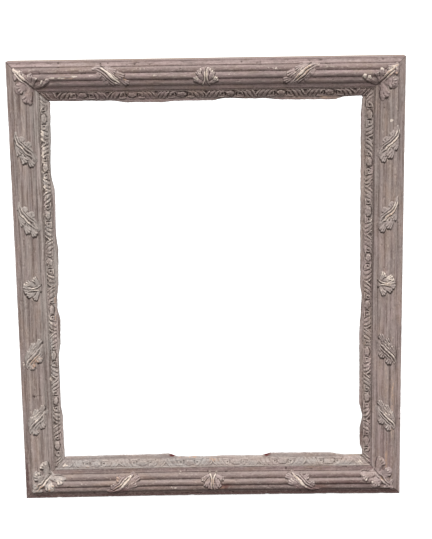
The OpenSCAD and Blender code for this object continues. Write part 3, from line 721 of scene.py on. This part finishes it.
def carved_slope(side, x, u, h, rows):
    """The sight moulding: carving on the slope, and a lip whose edge is chipped and uneven."""
    half = half_length(side)
    face_x, face_u = x[:, :rows], u[:, :rows]
    seed = 200 + 10 * side
    by_eye = 1.5 * drift(seed + 8, face_x, face_u, 16, 9)
    rise, sunk = carved_rise(side, face_x + by_eye, face_u + 0.6 * by_eye)
    rise = np.where(sunk > 0.3, np.minimum(rise, 1.2 - sunk), rise)
    ground = -0.7 - 0.8 * sunk + 0.2 * drift(seed + 1, face_x, face_u, 6, 3)
    start, end = slope_top[0], slope_foot[0]
    on_slope = window(face_u, start - 0.6, start + 0.8, end - 0.9, end + 0.3)
    worn = carving_depth[side] * (1 - 0.5 * smooth(drift(seed + 2, face_x, face_u, 36, 30), -0.1, 0.8))
    rise, sunk = blurred(np.maximum(rise, deepest), 1), blurred(sunk, 1) * worn
    strokes = stroke_depth[side] * drift(seed + 9, face_x + 0.3 * face_u, face_u, 2.6, 9)
    carving = np.maximum(rise * worn, ground) + strokes
    h[:, :rows] += on_slope * carving + 0.25 * drift(seed + 3, face_x, face_u, 22, 6)

    edge_x, edge_u = np.array(LIP_EDGES[side], float).T
    middle_x = x / (half - u) * (half - face_w)
    edge = np.interp(middle_x, edge_x, edge_u) + 0.7 * drift(seed + 4, middle_x, 0 * x, 14, 1) \
        + 0.4 * drift(seed + 5, middle_x, 0 * x, 4, 1)
    edge = np.maximum(edge, lip_start + 0.6)
    beyond = u > lip_start
    share = (u - lip_start) / (face_w - lip_start)
    u[:] = np.where(beyond, lip_start + share * (edge - lip_start), u)
    x[:] = np.sign(x) * np.minimum(np.abs(x), half - u)
    broken = 1 - smooth(edge, 94, 98)
    near_edge = smooth(share, 0.3, 1.0)
    chips = smooth(drift(seed + 6, x, u, 8, 3), 0.3, 0.9)
    on_top = beyond & (h > -moulding_t + 2)
    h -= np.where(on_top, 1.3 * broken * near_edge + 0.6 * chips * near_edge, 0)

    grime_and_shade = np.zeros(x.shape)
    # Dirt and painted shade in the carving's trenches
    grime_and_shade[:, :rows] = carving_dirt_and_shade[side] * on_slope * smooth(sunk, 0.5, 2.2)
    return grime_and_shade, 0.55 * broken * near_edge * smooth(drift(seed + 7, x, u, 25, 30), -0.2, 0.6)


def shell(raised):
    """Faces over and under the raised points of a grid and round their edges, and the points that they use.

    The points below follow those above. Cells that touch at a corner only get a third beside them.
    """
    cells = raised[:-1, :-1] | raised[1:, :-1] | raised[:-1, 1:] | raised[1:, 1:]
    cells[0], cells[-1], cells[:, 0], cells[:, -1] = False, False, False, False
    for _ in range(3):
        a, b, c, d = cells[:-1, :-1], cells[1:, :-1], cells[:-1, 1:], cells[1:, 1:]
        cells[1:, :-1] |= a & d & ~b & ~c
        cells[:-1, :-1] |= b & c & ~a & ~d
    index = np.arange(raised.size).reshape(raised.shape)
    lower = index + index.size
    i, j = np.nonzero(cells)
    faces = [np.stack([index[i, j], index[i + 1, j], index[i + 1, j + 1], index[i, j + 1]], -1),
             np.stack([lower[i, j], lower[i, j + 1], lower[i + 1, j + 1], lower[i + 1, j]], -1)]
    framed = np.pad(cells, 1)
    for di, dj, a, b in ((0, -1, (0, 0), (1, 0)), (1, 0, (1, 0), (1, 1)),
                         (0, 1, (1, 1), (0, 1)), (-1, 0, (0, 1), (0, 0))):
        open_side = ~framed[i + 1 + di, j + 1 + dj]
        ei, ej = i[open_side], j[open_side]
        p, q = (ei + a[0], ej + a[1]), (ei + b[0], ej + b[1])
        faces.append(np.stack([index[q], index[p], lower[p], lower[q]], -1))
    used, renumbered = np.unique(np.concatenate(faces), return_inverse=True)
    return renumbered.reshape(-1, 4), used


# How far the edge of a leaf is let into the moulding, and how much deeper its underside lies
leaf_sunk = 1.3
leaf_under = 1.2
# How high a rib stands over what is near it, and over the whole leaf, when it is rubbed fully pale
near_rib_h = 0.65
far_rib_h = 1.3


def carved_leaf(name, place, x, u, carved, flip, finish, wear):
    """A closed carved leaf: its top rises over the reeds as carved, and its underside is let into them."""
    rise, crest = carved
    rise = blurred(np.maximum(rise, deepest), wear["soft"])
    from_outside = np.minimum(x, u) if wear["corner"] else u
    under = reed_height(from_outside) - leaf_sunk
    seed = wear["seed"]
    top = bundle_height(from_outside) + rise
    top = top + 0.3 * drift(seed, x, u, 4, 4) + 0.2 * drift(seed + 7, x, u, 2, 2) \
        - 0.9 * smooth(drift(seed + 1, x, u, 7, 7), 0.5, 0.9)
    top = np.minimum(top, front_h)
    faces, used = shell(top > under)
    if flip:
        faces = faces[:, ::-1]
    top = np.maximum(top, under)
    inside = (rise > -0.5).astype(float)

    def around(passes):
        """The height of the leaf's top, averaged over the leaf round each point."""
        return blurred(top * inside, passes) / np.maximum(blurred(inside, passes), 0.05)

    def at_points(over, below=None):
        """A grid's values at the points that the faces use, over and below."""
        return np.concatenate([over.ravel(), (over if below is None else below).ravel()])[used]

    marks = np.clip((top - around(6)) / near_rib_h, -1, 1)
    marks = np.minimum(marks, np.clip((top - around(26) + 0.5) / far_rib_h, -1, 1))
    # Hollows of the leaf painted dark, as dirt and painted shade
    marks = np.where(marks < 0, marks * wear["dirty"] * smooth(rise, 0.4, 1.6), marks) * inside
    # Painted shadow below the leaf's taller parts, and painted shade along its foot
    shade = shade_below(rise, wear["up"])
    shade = np.maximum(0.95 * shade, 0.1 * (1 - smooth(rise, -3.0, 0.6)))
    px, pu, ph = at_points(x), at_points(u), at_points(top, under - leaf_under)
    proud = at_points(crest)
    ragged = drift(seed + 2, px, pu, 9, 9)
    cream, bare = marked(wear["marks"], px, pu, wear["lean"], seed + 4)
    rubbed_ribs = wear["rubbed"] * smooth(ragged, -0.3, 0.5) * proud
    values = {
        "hollow": at_points(marks),
        "cream": np.maximum(np.minimum(cream, 1.2) * (0.65 + 0.25 * proud), rubbed_ribs),
        "bare": bare,
        "red": wear["foot_red"] * (1 - smooth(pu + 4 * ragged, 18, 32)),
        "grime_and_shade": at_points(shade),
        "streak": np.full(len(used), 0.25)}
    for key in ("rose", "wash", "dust"):
        values[key] = np.full(len(used), wear[key])
    values["along"] = np.stack([px + leaf_apart * (seed % 97), pu, ph], -1) * mm
    add_piece(name, place(px, pu, ph), faces.tolist(), values, finish)


# How worn each leaf is: how much of its ribs is rubbed pale, and the marks on it, which are long spots
# along its ribs: x, u, half length, half width, share of cream paint, share of bare wood
LEAF_WEAR = {
    "corner_leaf_top_left": (0.5, [(32, 29, 22, 8, 1.2, 0.15), (42, 38, 9, 4, 0.8, 0), (52, 32, 6, 4, 0.9, 0),
        (70, 37, 5, 4, 1.0, 0), (82, 47, 5, 4, 1.2, 0), (91, 41, 7, 4, 1.2, 0.1), (30, 18, 7, 5, 0.6, 0)]),
    "corner_leaf_top_right": (0.5, [(34, 30, 24, 8, 1.4, 0.4), (57, 27, 5, 3, 1.3, 0), (98, 43, 8, 6, 1.4, 0),
        (86, 47, 6, 6, 1.3, 0), (30, 46, 7, 3, 1.2, 0), (24, 38, 8, 3, 0.7, 0.5), (44, 60, 8, 7, 0.4, 0)]),
    "corner_leaf_bottom_left": (0.5, [(46, 93, 11, 9, 0.75, 0), (32, 66, 11, 9, 0.8, 0),
        (50, 49, 16, 5, 0.85, 0), (64, 33, 13, 12, 1.0, 0.3), (84, 48, 10, 8, 0.95, 0.2),
        (36, 32, 14, 9, 0.8, 0.4), (60, 26, 5, 4, 0, 0.9)]),
    "corner_leaf_bottom_right": (0.5, [(46, 46, 9, 3, 0.3, 1.1), (86, 46, 8, 8, 0.6, 0),
        (63, 33, 12, 9, 0.5, 0), (32, 66, 8, 6, 0.4, 0)]),
    "centre_leaf_top": (1.1, [(0, 38, 20, 5, 1.8, 0.2), (22, 46, 5, 6, 1.3, 0), (-23, 43, 6, 8, 1.5, 0),
        (14, 27, 9, 5, 0.85, 0), (-8, 21, 5, 4, 0.6, 0), (-15, 28, 8, 6, 0.85, 0)]),
    "centre_leaf_bottom": (1.0, [(-5, 57, 8, 3, 1.4, 0), (5, 57, 8, 3, 1.4, 0), (-1, 38, 17, 4, 1.3, 0.4),
        (-24, 46, 3, 5, 0.7, 0)]),
    "centre_leaf_left": (0.6, [(-13, 28, 11, 8, 0.8, 0), (-26, 46, 6, 7, 0.8, 0)]),
    "centre_leaf_right": (0.6, [(13, 30, 16, 12, 1.2, 0.1), (26, 47, 8, 10, 1.1, 0), (0, 38, 15, 5, 1.5, 0.2),
        (-14, 53, 4, 7, 0.7, 0)]),
    "diagonal_leaf_top_left": (0.3, [(-3, 36, 26, 6, 1.5, 0), (-35, 42, 6, 5, 0.5, 0.9),
        (14, 21, 10, 3, 0.7, 0), (6, 20, 16, 5, 0.4, 0)]),
    "diagonal_leaf_top_right": (0.3, [(6, 31, 28, 7, 1.3, 0.3), (-4, 27, 14, 2, 0.9, 0),
        (2, 22, 12, 2, 0.8, 0), (-14, 34, 9, 2, 0.8, 0)]),
    "diagonal_leaf_bottom_left": (0.3, [(-6, 44, 25, 5, 1.4, 0.2), (16, 28, 12, 5, 0.8, 0.4),
        (14, 50, 8, 5, 0.2, 0.6)]),
    "diagonal_leaf_bottom_right": (0.3, [(-8, 42, 28, 4, 1.4, 0.2), (14, 46, 10, 8, 0.5, 0),
        (-26, 38, 10, 7, 0.5, 0)]),
    "diagonal_leaf_left_1": (0.55, [(6, 33, 7, 3, 1.0, 0), (-28, 38, 8, 7, 0.4, 0)]),
    "diagonal_leaf_left_2": (0.55, [(2, 30, 20, 8, 0.5, 0), (-14, 54, 8, 6, 0.5, 0.1)]),
    "diagonal_leaf_left_3": (0.4, [(12, 38, 17, 10, 1.1, 0.6), (22, 36, 8, 8, 0.5, 0.8),
        (-16, 34, 12, 8, 0.6, 0)]),
    "diagonal_leaf_left_4": (0.35, [(-16, 36, 16, 12, 0.75, 0)]),
    "diagonal_leaf_right_1": (0.3, [(-1, 33, 26, 6, 1.3, 0.15), (28, 19, 9, 4, 1.0, 0)]),
    "diagonal_leaf_right_2": (0.25, [(0, 35, 20, 8, 1.0, 0.3), (24, 21, 14, 4, 1.1, 0)]),
    "diagonal_leaf_right_3": (0.5, [(-16, 34, 14, 10, 0.75, 0)]),
    "diagonal_leaf_right_4": (0.45, [(-14, 34, 16, 10, 0.75, 0.1)])}
# What the paint of the leaves is like: rose paint, dust, dark wash, dirt and painted shade in the hollows
# and red at the foot, and how often the carving is smoothed. Each row changes the leaves whose names start
# so.
LEAF_TONES = (
    ("", {"rose": 0.7, "dust": 0.3, "wash": 0.0, "dirty": 1.3, "foot_red": 0.0, "soft": 1}),
    ("centre_leaf_bottom", {"foot_red": 0.5}),
    ("centre_leaf_left", {"rose": 0.0, "dust": 1.5}),
    ("centre_leaf_right", {"rose": 0.25, "dust": 0.8}),
    ("corner", {"soft": 2}),
    ("corner_leaf_top_right", {"wash": 0.22}),
    ("corner_leaf_bottom_left", {"rose": 0.0, "dust": 1.1}),
    ("diagonal_leaf_top", {"dirty": 1.0, "soft": 0}),
    ("diagonal_leaf_bottom", {"dirty": 1.0, "foot_red": 0.5}),
    ("diagonal_leaf_bottom_left", {"wash": 0.12}),
    ("diagonal_leaf_left", {"rose": 0.0, "dust": 1.1, "dirty": 0.85}),
    ("diagonal_leaf_left_1", {"dirty": 1.3}),
    ("diagonal_leaf_left_2", {"dust": 1.5}),
    ("diagonal_leaf_left_3", {"soft": 2}),
    ("diagonal_leaf_left_4", {"soft": 2}),
    ("diagonal_leaf_right", {"rose": 0.25, "dust": 0.8}),
    ("diagonal_leaf_right_3", {"dust": 0.5, "wash": 0.22, "dirty": 1.7}))


def marked(marks, x, u, lean, seed):
    """Shares of cream paint and bare wood that the marks of a leaf give at its points, with ragged edges."""
    cream, bare = np.zeros(x.shape), np.zeros(x.shape)
    for n, (mx, mu, half_l, half_w, pale, wood) in enumerate(marks):
        along = (x - mx) * math.cos(lean) + (u - mu) * math.sin(lean)
        aside = (u - mu) * math.cos(lean) - (x - mx) * math.sin(lean)
        ragged = np.hypot(along / half_l, aside / half_w) + 0.35 * drift(seed + n, x, u, 4, 4)
        share = 1 - smooth(ragged, 0.5, 1.3)
        cream, bare = np.maximum(cream, pale * share), np.maximum(bare, wood * share)
    return cream, bare


def wear_of(name, seed, lean, up, corner=False):
    """How a leaf is worn: lean is the way its ribs run, in degrees from x, and up the way up the frame."""
    rubbed, marks = LEAF_WEAR[name]
    wear = {"rubbed": rubbed, "marks": marks, "seed": seed, "lean": math.radians(lean), "up": up,
            "corner": corner}
    for start, tones in LEAF_TONES:
        if name.startswith(start):
            wear.update(tones)
    return wear


def grid(low_x, high_x, low_u, high_u):
    xs = np.arange(low_x, high_x + leaf_step, leaf_step)
    us = np.arange(low_u, high_u + leaf_step, leaf_step)
    return np.meshgrid(xs, us, indexing="ij")


def by_hand(carve, x, u, seed, *kind):
    """A leaf as it was cut by hand, a little different from its drawing."""
    return carve(x + 1.9 * drift(seed, x, u, 12, 12), u + 1.9 * drift(seed + 1, x, u, 12, 12), *kind)


def on_side(side, middle=0, way=1):
    """Takes a leaf's own points to its place on a side. Way is -1 where its x runs against the side's."""
    return lambda x, u, h: to_world(side, middle + way * x, u, h)


def at_corner(top, right):
    """Takes a corner leaf's own points, which are measured from the frame's corner, to that corner."""

    def place(x, u, h):
        across = (1 if right else -1) * (frame_w / 2 - x)
        up = frame_h - u if top else u
        return np.stack([across, arris_y - h, up], -1) * mm

    return place


def make_leaves(finish):
    for side, side_name in enumerate(SIDES):
        name = "centre_leaf_" + side_name
        x, u = grid(-46, 46, 9, 70)
        carved = by_hand(centre_rise, x, u, 31 + side)
        wear = wear_of(name, 400 + 7 * side, 90, UPWARDS[side])
        carved_leaf(name, on_side(side), x, u, carved, False, finish, wear)
        for n, (name, middle) in enumerate(side_leaves(side)):
            way = 1 if middle > 0 else -1
            x, u = grid(-54, 52, 7, 72)
            carved = by_hand(diagonal_rise, x, u, 50 + 9 * side + n, side, is_short(side, middle))
            up = (way * UPWARDS[side][0], UPWARDS[side][1])
            wear = wear_of(name, 440 + 31 * side + 7 * n, 137, up)
            carved_leaf(name, on_side(side, middle, way), x, u, carved, way < 0, finish, wear)
    for top in (0, 1):
        for right in (0, 1):
            name = f"corner_leaf_{'top' if top else 'bottom'}_{'right' if right else 'left'}"
            x, u = grid(10, 112, 10, 112)
            lobes = RAIL_CORNER_LOBES if top else STILE_CORNER_LOBES
            carved = by_hand(corner_rise, x, u, 90 + 2 * top + right, lobes)
            wear = wear_of(name, 600 + 11 * top + 5 * right, 45, (0, -1 if top else 1), corner=True)
            carved_leaf(name, at_corner(top, right), x, u, carved, top != right, finish, wear)


def screen(red, green, blue):
    """A colour as the eye reads it on a screen, from 0 to 255, turned into light."""
    shares = (red / 255, green / 255, blue / 255)
    return tuple(c / 12.92 if c <= 0.04045 else ((c + 0.055) / 1.055) ** 2.4 for c in shares) + (1.0,)


class Value:
    """A shader value that adds its Math nodes when it is used in an expression."""

    def __init__(self, finish, output):
        self.finish = finish
        self.output = output

    def _with(self, operation, other):
        return self.finish.node("Math", {"operation": operation}, {0: self, 1: other})

    def __add__(self, other):
        return self._with("ADD", other)

    def __sub__(self, other):
        return self._with("SUBTRACT", other)

    def __mul__(self, other):
        return self._with("MULTIPLY", other)


class Finish:
    """A material, or the world, while its nodes are being laid out."""

    def __init__(self, owner):
        owner.use_nodes = True
        self.owner = owner
        self.tree = owner.node_tree
        self.tree.nodes.clear()

    def node(self, kind, settings=None, sockets=None, output=0):
        made = self.tree.nodes.new("ShaderNode" + kind)
        for key, value in (settings or {}).items():
            setattr(made, key, value)
        for key, value in (sockets or {}).items():
            if isinstance(value, Value):
                self.tree.links.new(value.output, made.inputs[key])
            else:
                made.inputs[key].default_value = value
        return Value(self, made.outputs[output]) if len(made.outputs) else None

    def mark(self, name):
        return self.node("Attribute", {"attribute_name": name}, output="Fac")

    def stretched(self, vector, x, y, z):
        return self.node("Mapping", {}, {"Vector": vector, "Scale": (x, y, z)})

    def noise(self, vector, scale, detail=3.0, rough=0.55, lumpy=0.0):
        sockets = {"Vector": vector, "Scale": scale, "Detail": detail, "Roughness": rough,
                   "Distortion": lumpy}
        return self.node("TexNoise", {}, sockets, "Fac")

    def between(self, value, low, high, to_low=0.0, to_high=1.0):
        sockets = {"Value": value, "From Min": low, "From Max": high, "To Min": to_low, "To Max": to_high}
        return self.node("MapRange", {"interpolation_type": "SMOOTHSTEP"}, sockets)

    def mix(self, share, first, second):
        return self.node("Mix", {"data_type": "RGBA"}, {0: share, 6: first, 7: second}, 2)

    def bumps(self, height, distance, strength):
        return self.node("Bump", {}, {"Height": height, "Distance": distance, "Strength": strength})

    def surface(self, colour, roughness, normal, metallic=0.0):
        sockets = {"Base Color": colour, "Roughness": roughness, "Metallic": metallic,
                   "Specular IOR Level": 0.35, "Normal": normal}
        shader = self.node("BsdfPrincipled", {}, sockets)
        self.node("OutputMaterial", {}, {"Surface": shader})
        return self.owner


GREY_BROWN = screen(150, 134, 130)
ROSE = screen(172, 147, 146)
TAN = screen(162, 139, 127)
UMBER = screen(102, 83, 76)
CREAM = screen(236, 220, 206)
BARE = screen(206, 174, 152)
# Dirt, and the painted shade in hollows and under and round the leaves
DIRT_AND_SHADE = screen(64, 50, 45)
DUST = screen(184, 173, 166)
COOL_DUST = screen(180, 174, 170)
ROSE_DUST = screen(202, 178, 174)
PALE = screen(208, 194, 185)
WASH = screen(92, 68, 65)
OLD_RED = screen(92, 30, 28)


def aged_paint(name, wear, hollow_dirt_shade_share, rubbed_colour, mottled):
    """Old distemper over wood: rubbed pale on the ridges, brown along the grain, dark in the hollows with
    dirt and painted shade.

    The pieces say where: hollow is below 0 in hollows and over 0 on ridges, and the rest are shares.
    """
    f = Finish(bpy.data.materials.new(name))
    along = f.node("Attribute", {"attribute_name": "along"}, output="Vector")
    relief, grime_and_shade, cream, bare = f.mark("hollow"), f.mark("grime_and_shade"), f.mark("cream"), f.mark("bare")
    rose, red, wash, dust, streak = (f.mark(key) for key in ("rose", "red", "wash", "dust", "streak"))
    grain = f.noise(f.stretched(along, 14, 420, 420), 1.0, 5.0, 0.6)
    long_grain = f.noise(f.stretched(along, 6, 160, 160), 1.0, 3.0, 0.5)
    patches = f.noise(f.stretched(along, 12, 34, 34), 1.0, 3.0)
    cloud = f.noise(f.stretched(along, 45, 75, 75), 1.0, 4.0, 0.6)
    mottle = f.noise(f.stretched(along, 160, 230, 230), 1.0, 4.0, 0.65)
    fleck = f.noise(f.stretched(along, 420, 520, 520), 1.0, 3.0, 0.6)
    facing = f.node("SeparateXYZ", {}, {0: f.node("NewGeometry", output="Normal")}, "Z")
    # Paler where a surface faces up
    paler_facing_up = f.between(facing, 0.3, 0.95, 0.0, 0.35) * f.between(mottle, 0.3, 0.6, 0.55, 1.0)
    dust_colour = f.mix(rose, f.mix(f.between(rose, -0.6, 0.0), COOL_DUST, DUST), ROSE_DUST)
    ridges = f.between(relief, 0.15, 0.8)
    shown_cream = f.between(cream + (mottle - 0.5) * 2.4 + ridges * 0.3, 0.45, 0.85)
    shown_bare = f.between(bare + (mottle - 0.5) * 1.4 + ridges * 0.4, 0.42, 0.8)
    wood = f.mix(f.between(grain, 0.35, 0.7), BARE, TAN)
    layers = (
        (rose * f.between(cloud, 0.3, 0.62), ROSE),
        (paler_facing_up, DUST),
        # Dust, and painted light where a side is paler across it
        (dust * f.between(cloud, 0.3, 0.62, 0.4, 1.1), dust_colour),
        (streak * f.between(long_grain, 0.48, 0.7, 0.0, 0.8), UMBER),
        (streak * f.between(grain, 0.48, 0.66, 0.0, 0.85), UMBER),
        # Dark wash, and painted shade where a side is darker across it
        (wash * f.between(cloud, 0.3, 0.65, 1.1, 0.8), WASH),
        (f.between(mottle, 0.5, 0.66, 0.0, mottled), UMBER),
        (f.between(mottle, 0.34, 0.5, mottled, 0.0), rubbed_colour),
        (ridges * f.between(mottle, 0.44, 0.62) * wear, rubbed_colour),
        (shown_cream * f.between(cream, 0.0, 0.15), CREAM),
        (shown_bare * f.between(bare, 0.0, 0.15), wood),
        (red, OLD_RED),
        # Dirt and painted shade in the hollows
        (f.between(relief * -1.0 + (mottle - 0.5) * 0.5, 0.05, 0.75, 0.0, hollow_dirt_shade_share), DIRT_AND_SHADE),
        # Dirt and painted shade where the pieces put it: round and under leaves, in trenches, joints, mitres
        # and holes
        (grime_and_shade * f.between(mottle, 0.2, 0.6, 0.45, 0.85), DIRT_AND_SHADE),
        (f.between(fleck, 0.66, 0.78, 0.0, 0.5), DIRT_AND_SHADE))
    colour = f.mix(f.between(patches, 0.42, 0.66), GREY_BROWN, TAN)
    for share, tint in layers:
        colour = f.mix(share, colour, tint)
    height = grain * 0.5 + mottle * 0.35 + fleck * 0.25
    return f.surface(colour, f.between(mottle, 0.3, 0.7, 0.62, 0.88), f.bumps(height, 0.0009, 0.55))


def old_pine(name, axis):
    """Bare softwood of the back, browned with age: its grain runs along an axis, 0 for X and 2 for Z."""
    f = Finish(bpy.data.materials.new(name))
    here = f.node("TexCoord", output="Object")
    scale = [110.0, 110.0, 110.0]
    scale[axis] = 5.0
    rings = f.noise(f.stretched(here, *scale), 1.0, 4.0, 0.6, 0.4)
    fibre = f.noise(f.stretched(here, *[s * 6 for s in scale]), 1.0, 3.0, 0.6)
    stain = f.noise(here, 9.0, 4.0)
    colour = f.mix(f.between(rings, 0.35, 0.68), screen(176, 146, 112), screen(128, 99, 72))
    colour = f.mix(f.between(fibre, 0.55, 0.75, 0.0, 0.5), colour, screen(92, 70, 52))
    colour = f.mix(f.between(stain, 0.48, 0.7, 0.0, 0.5), colour, screen(112, 98, 86))
    relief = f.bumps(rings * 0.5 + fibre * 0.5, 0.0006, 0.5)
    return f.surface(colour, f.between(fibre, 0.3, 0.7, 0.7, 0.9), relief)


def old_metal(name, bright, dark, smoothest, metallic):
    """Old hardware: dull, blotched, and brighter where it is rubbed."""
    f = Finish(bpy.data.materials.new(name))
    here = f.node("TexCoord", output="Object")
    blotch = f.noise(here, 70.0, 4.0, 0.6)
    scratch = f.noise(f.stretched(here, 300, 300, 2400), 1.0, 3.0)
    tarnish = f.between(blotch, 0.32, 0.7)
    rough = f.between(blotch + (scratch - 0.5) * 0.4, 0.3, 0.7, smoothest, 0.75)
    relief = f.bumps(blotch + scratch * 0.4, 0.0001, 0.4)
    metal = f.between(tarnish, 0.0, 1.0, metallic, metallic - 0.3)
    return f.surface(f.mix(tarnish, bright, dark), rough, relief, metal)


def finish_nodes(finish, *starts):
    """Gives every CAD node whose name starts so its finish."""
    for name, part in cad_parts.items():
        if name.startswith(starts):
            for part_slot in part.material_slots:
                part_slot.material = finish


finish_nodes(old_pine("rail_pine", 0), "back_rail")
finish_nodes(old_pine("stile_pine", 2), "back_stile")
finish_nodes(old_pine("peg_pine", 1), "corner_pegs")
steel = old_metal("dull_steel", screen(150, 146, 140), screen(104, 88, 78), 0.4, 0.8)
brass = old_metal("tarnished_brass", screen(205, 172, 110), screen(146, 118, 76), 0.35, 0.75)
finish_nodes(steel, "moulding_screws", "sight_nails")
finish_nodes(brass, "turn_button", "hanger", "hanging_ring")

REEDED = {
    "face": reeded_face, "back": reeded_back, "step": reed_step, "shape": worn_reeds,
    "dirt_and_shade": groove_dirt_and_shade, "rose": reed_rose, "rose_drift": 0.25,
    "slot": "painted_wood", "finish": aged_paint("reed_paint", 0.4, 0.85, CREAM, 0.12)}
CARVED = {
    "face": sight_face, "back": sight_back, "step": carving_step, "shape": carved_slope,
    "dirt_and_shade": carving_dirt_and_shade, "rose": carving_rose, "rose_drift": 0.6,
    "slot": "carved_paint", "finish": aged_paint("carving_paint", 0.5, 0.85, CREAM, 0.2)}
for number, side_name in enumerate(SIDES):
    moulding("reeded_moulding_" + side_name, number, REEDED)
    moulding("sight_moulding_" + side_name, number, CARVED)
make_leaves(aged_paint("leaf_gesso", 0.9, 0.8, PALE, 0.3))

# The camera stands where the picture was taken from: above the frame's top edge and a little to its right
camera_place = Vector((35.0, -3271.8, 1335.0)) * mm
camera_pan, camera_tilt, camera_roll = 0.0056, 0.2256, -0.0158
camera_lens = 91.46
camera_data = bpy.data.cameras.new("camera")
camera_data.lens = camera_lens
camera_data.sensor_width = 36
camera_data.clip_end = 200
camera = linked("camera", camera_data)
turns = ((camera_pan, "Z"), (math.pi / 2 - camera_tilt, "X"), (camera_roll, "Z"))
camera.matrix_world = Matrix.Translation(camera_place)
for angle, turn_axis in turns:
    camera.matrix_world @= Matrix.Rotation(angle, 4, turn_axis)
bpy.context.scene.camera = camera

# A pale floor that reaches the horizon, and a broad soft light from above and in front
white = (1, 1, 1, 1)
floor_reach = 60
floor_finish = Finish(bpy.data.materials.new("pale_floor"))
floor_look = floor_finish.node("BsdfPrincipled", {}, {
    "Base Color": (0.45, 0.45, 0.45, 1), "Roughness": 1.0, "Specular IOR Level": 0.0,
    "Emission Color": white, "Emission Strength": 0.78})
floor_finish.node("OutputMaterial", {}, {"Surface": floor_look})
floor_finish.owner.cycles.emission_sampling = "NONE"
floor_mesh = bpy.data.meshes.new("floor")
floor_corners = [(-floor_reach, -floor_reach, 0), (floor_reach, -floor_reach, 0),
                 (floor_reach, floor_reach, 0), (-floor_reach, floor_reach, 0)]
floor_mesh.from_pydata(floor_corners, [], [(0, 1, 2, 3)])
floor_mesh.materials.append(floor_finish.owner)
floor = linked("floor", floor_mesh)
floor.visible_diffuse = False
floor.visible_glossy = False

sun_height, sun_side = math.radians(50), math.radians(-6)
sun_data = bpy.data.lights.new("key_light", "SUN")
sun_data.energy = 1.75
sun_data.angle = math.radians(35)
sun = linked("key_light", sun_data)
level_share = math.cos(sun_height)
to_sun = Vector((math.sin(sun_side) * level_share, -math.cos(sun_side) * level_share, math.sin(sun_height)))
sun.rotation_mode = "QUATERNION"
sun.rotation_quaternion = to_sun.to_track_quat("Z", "Y")

# The world's light is stronger from above than from below
world = bpy.data.worlds.new("soft_room")
bpy.context.scene.world = world
sky = Finish(world)
sky_up = sky.node("SeparateXYZ", {}, {0: sky.node("TexCoord", output="Generated")}, "Z")
sky_strength = sky.between(sky_up, -0.6, 0.9, 0.22, 1.05)
glow = sky.node("Background", {}, {"Color": white, "Strength": sky_strength})
sky.node("OutputWorld", {}, {"Surface": glow})

bpy.context.scene.view_settings.view_transform = "Standard"
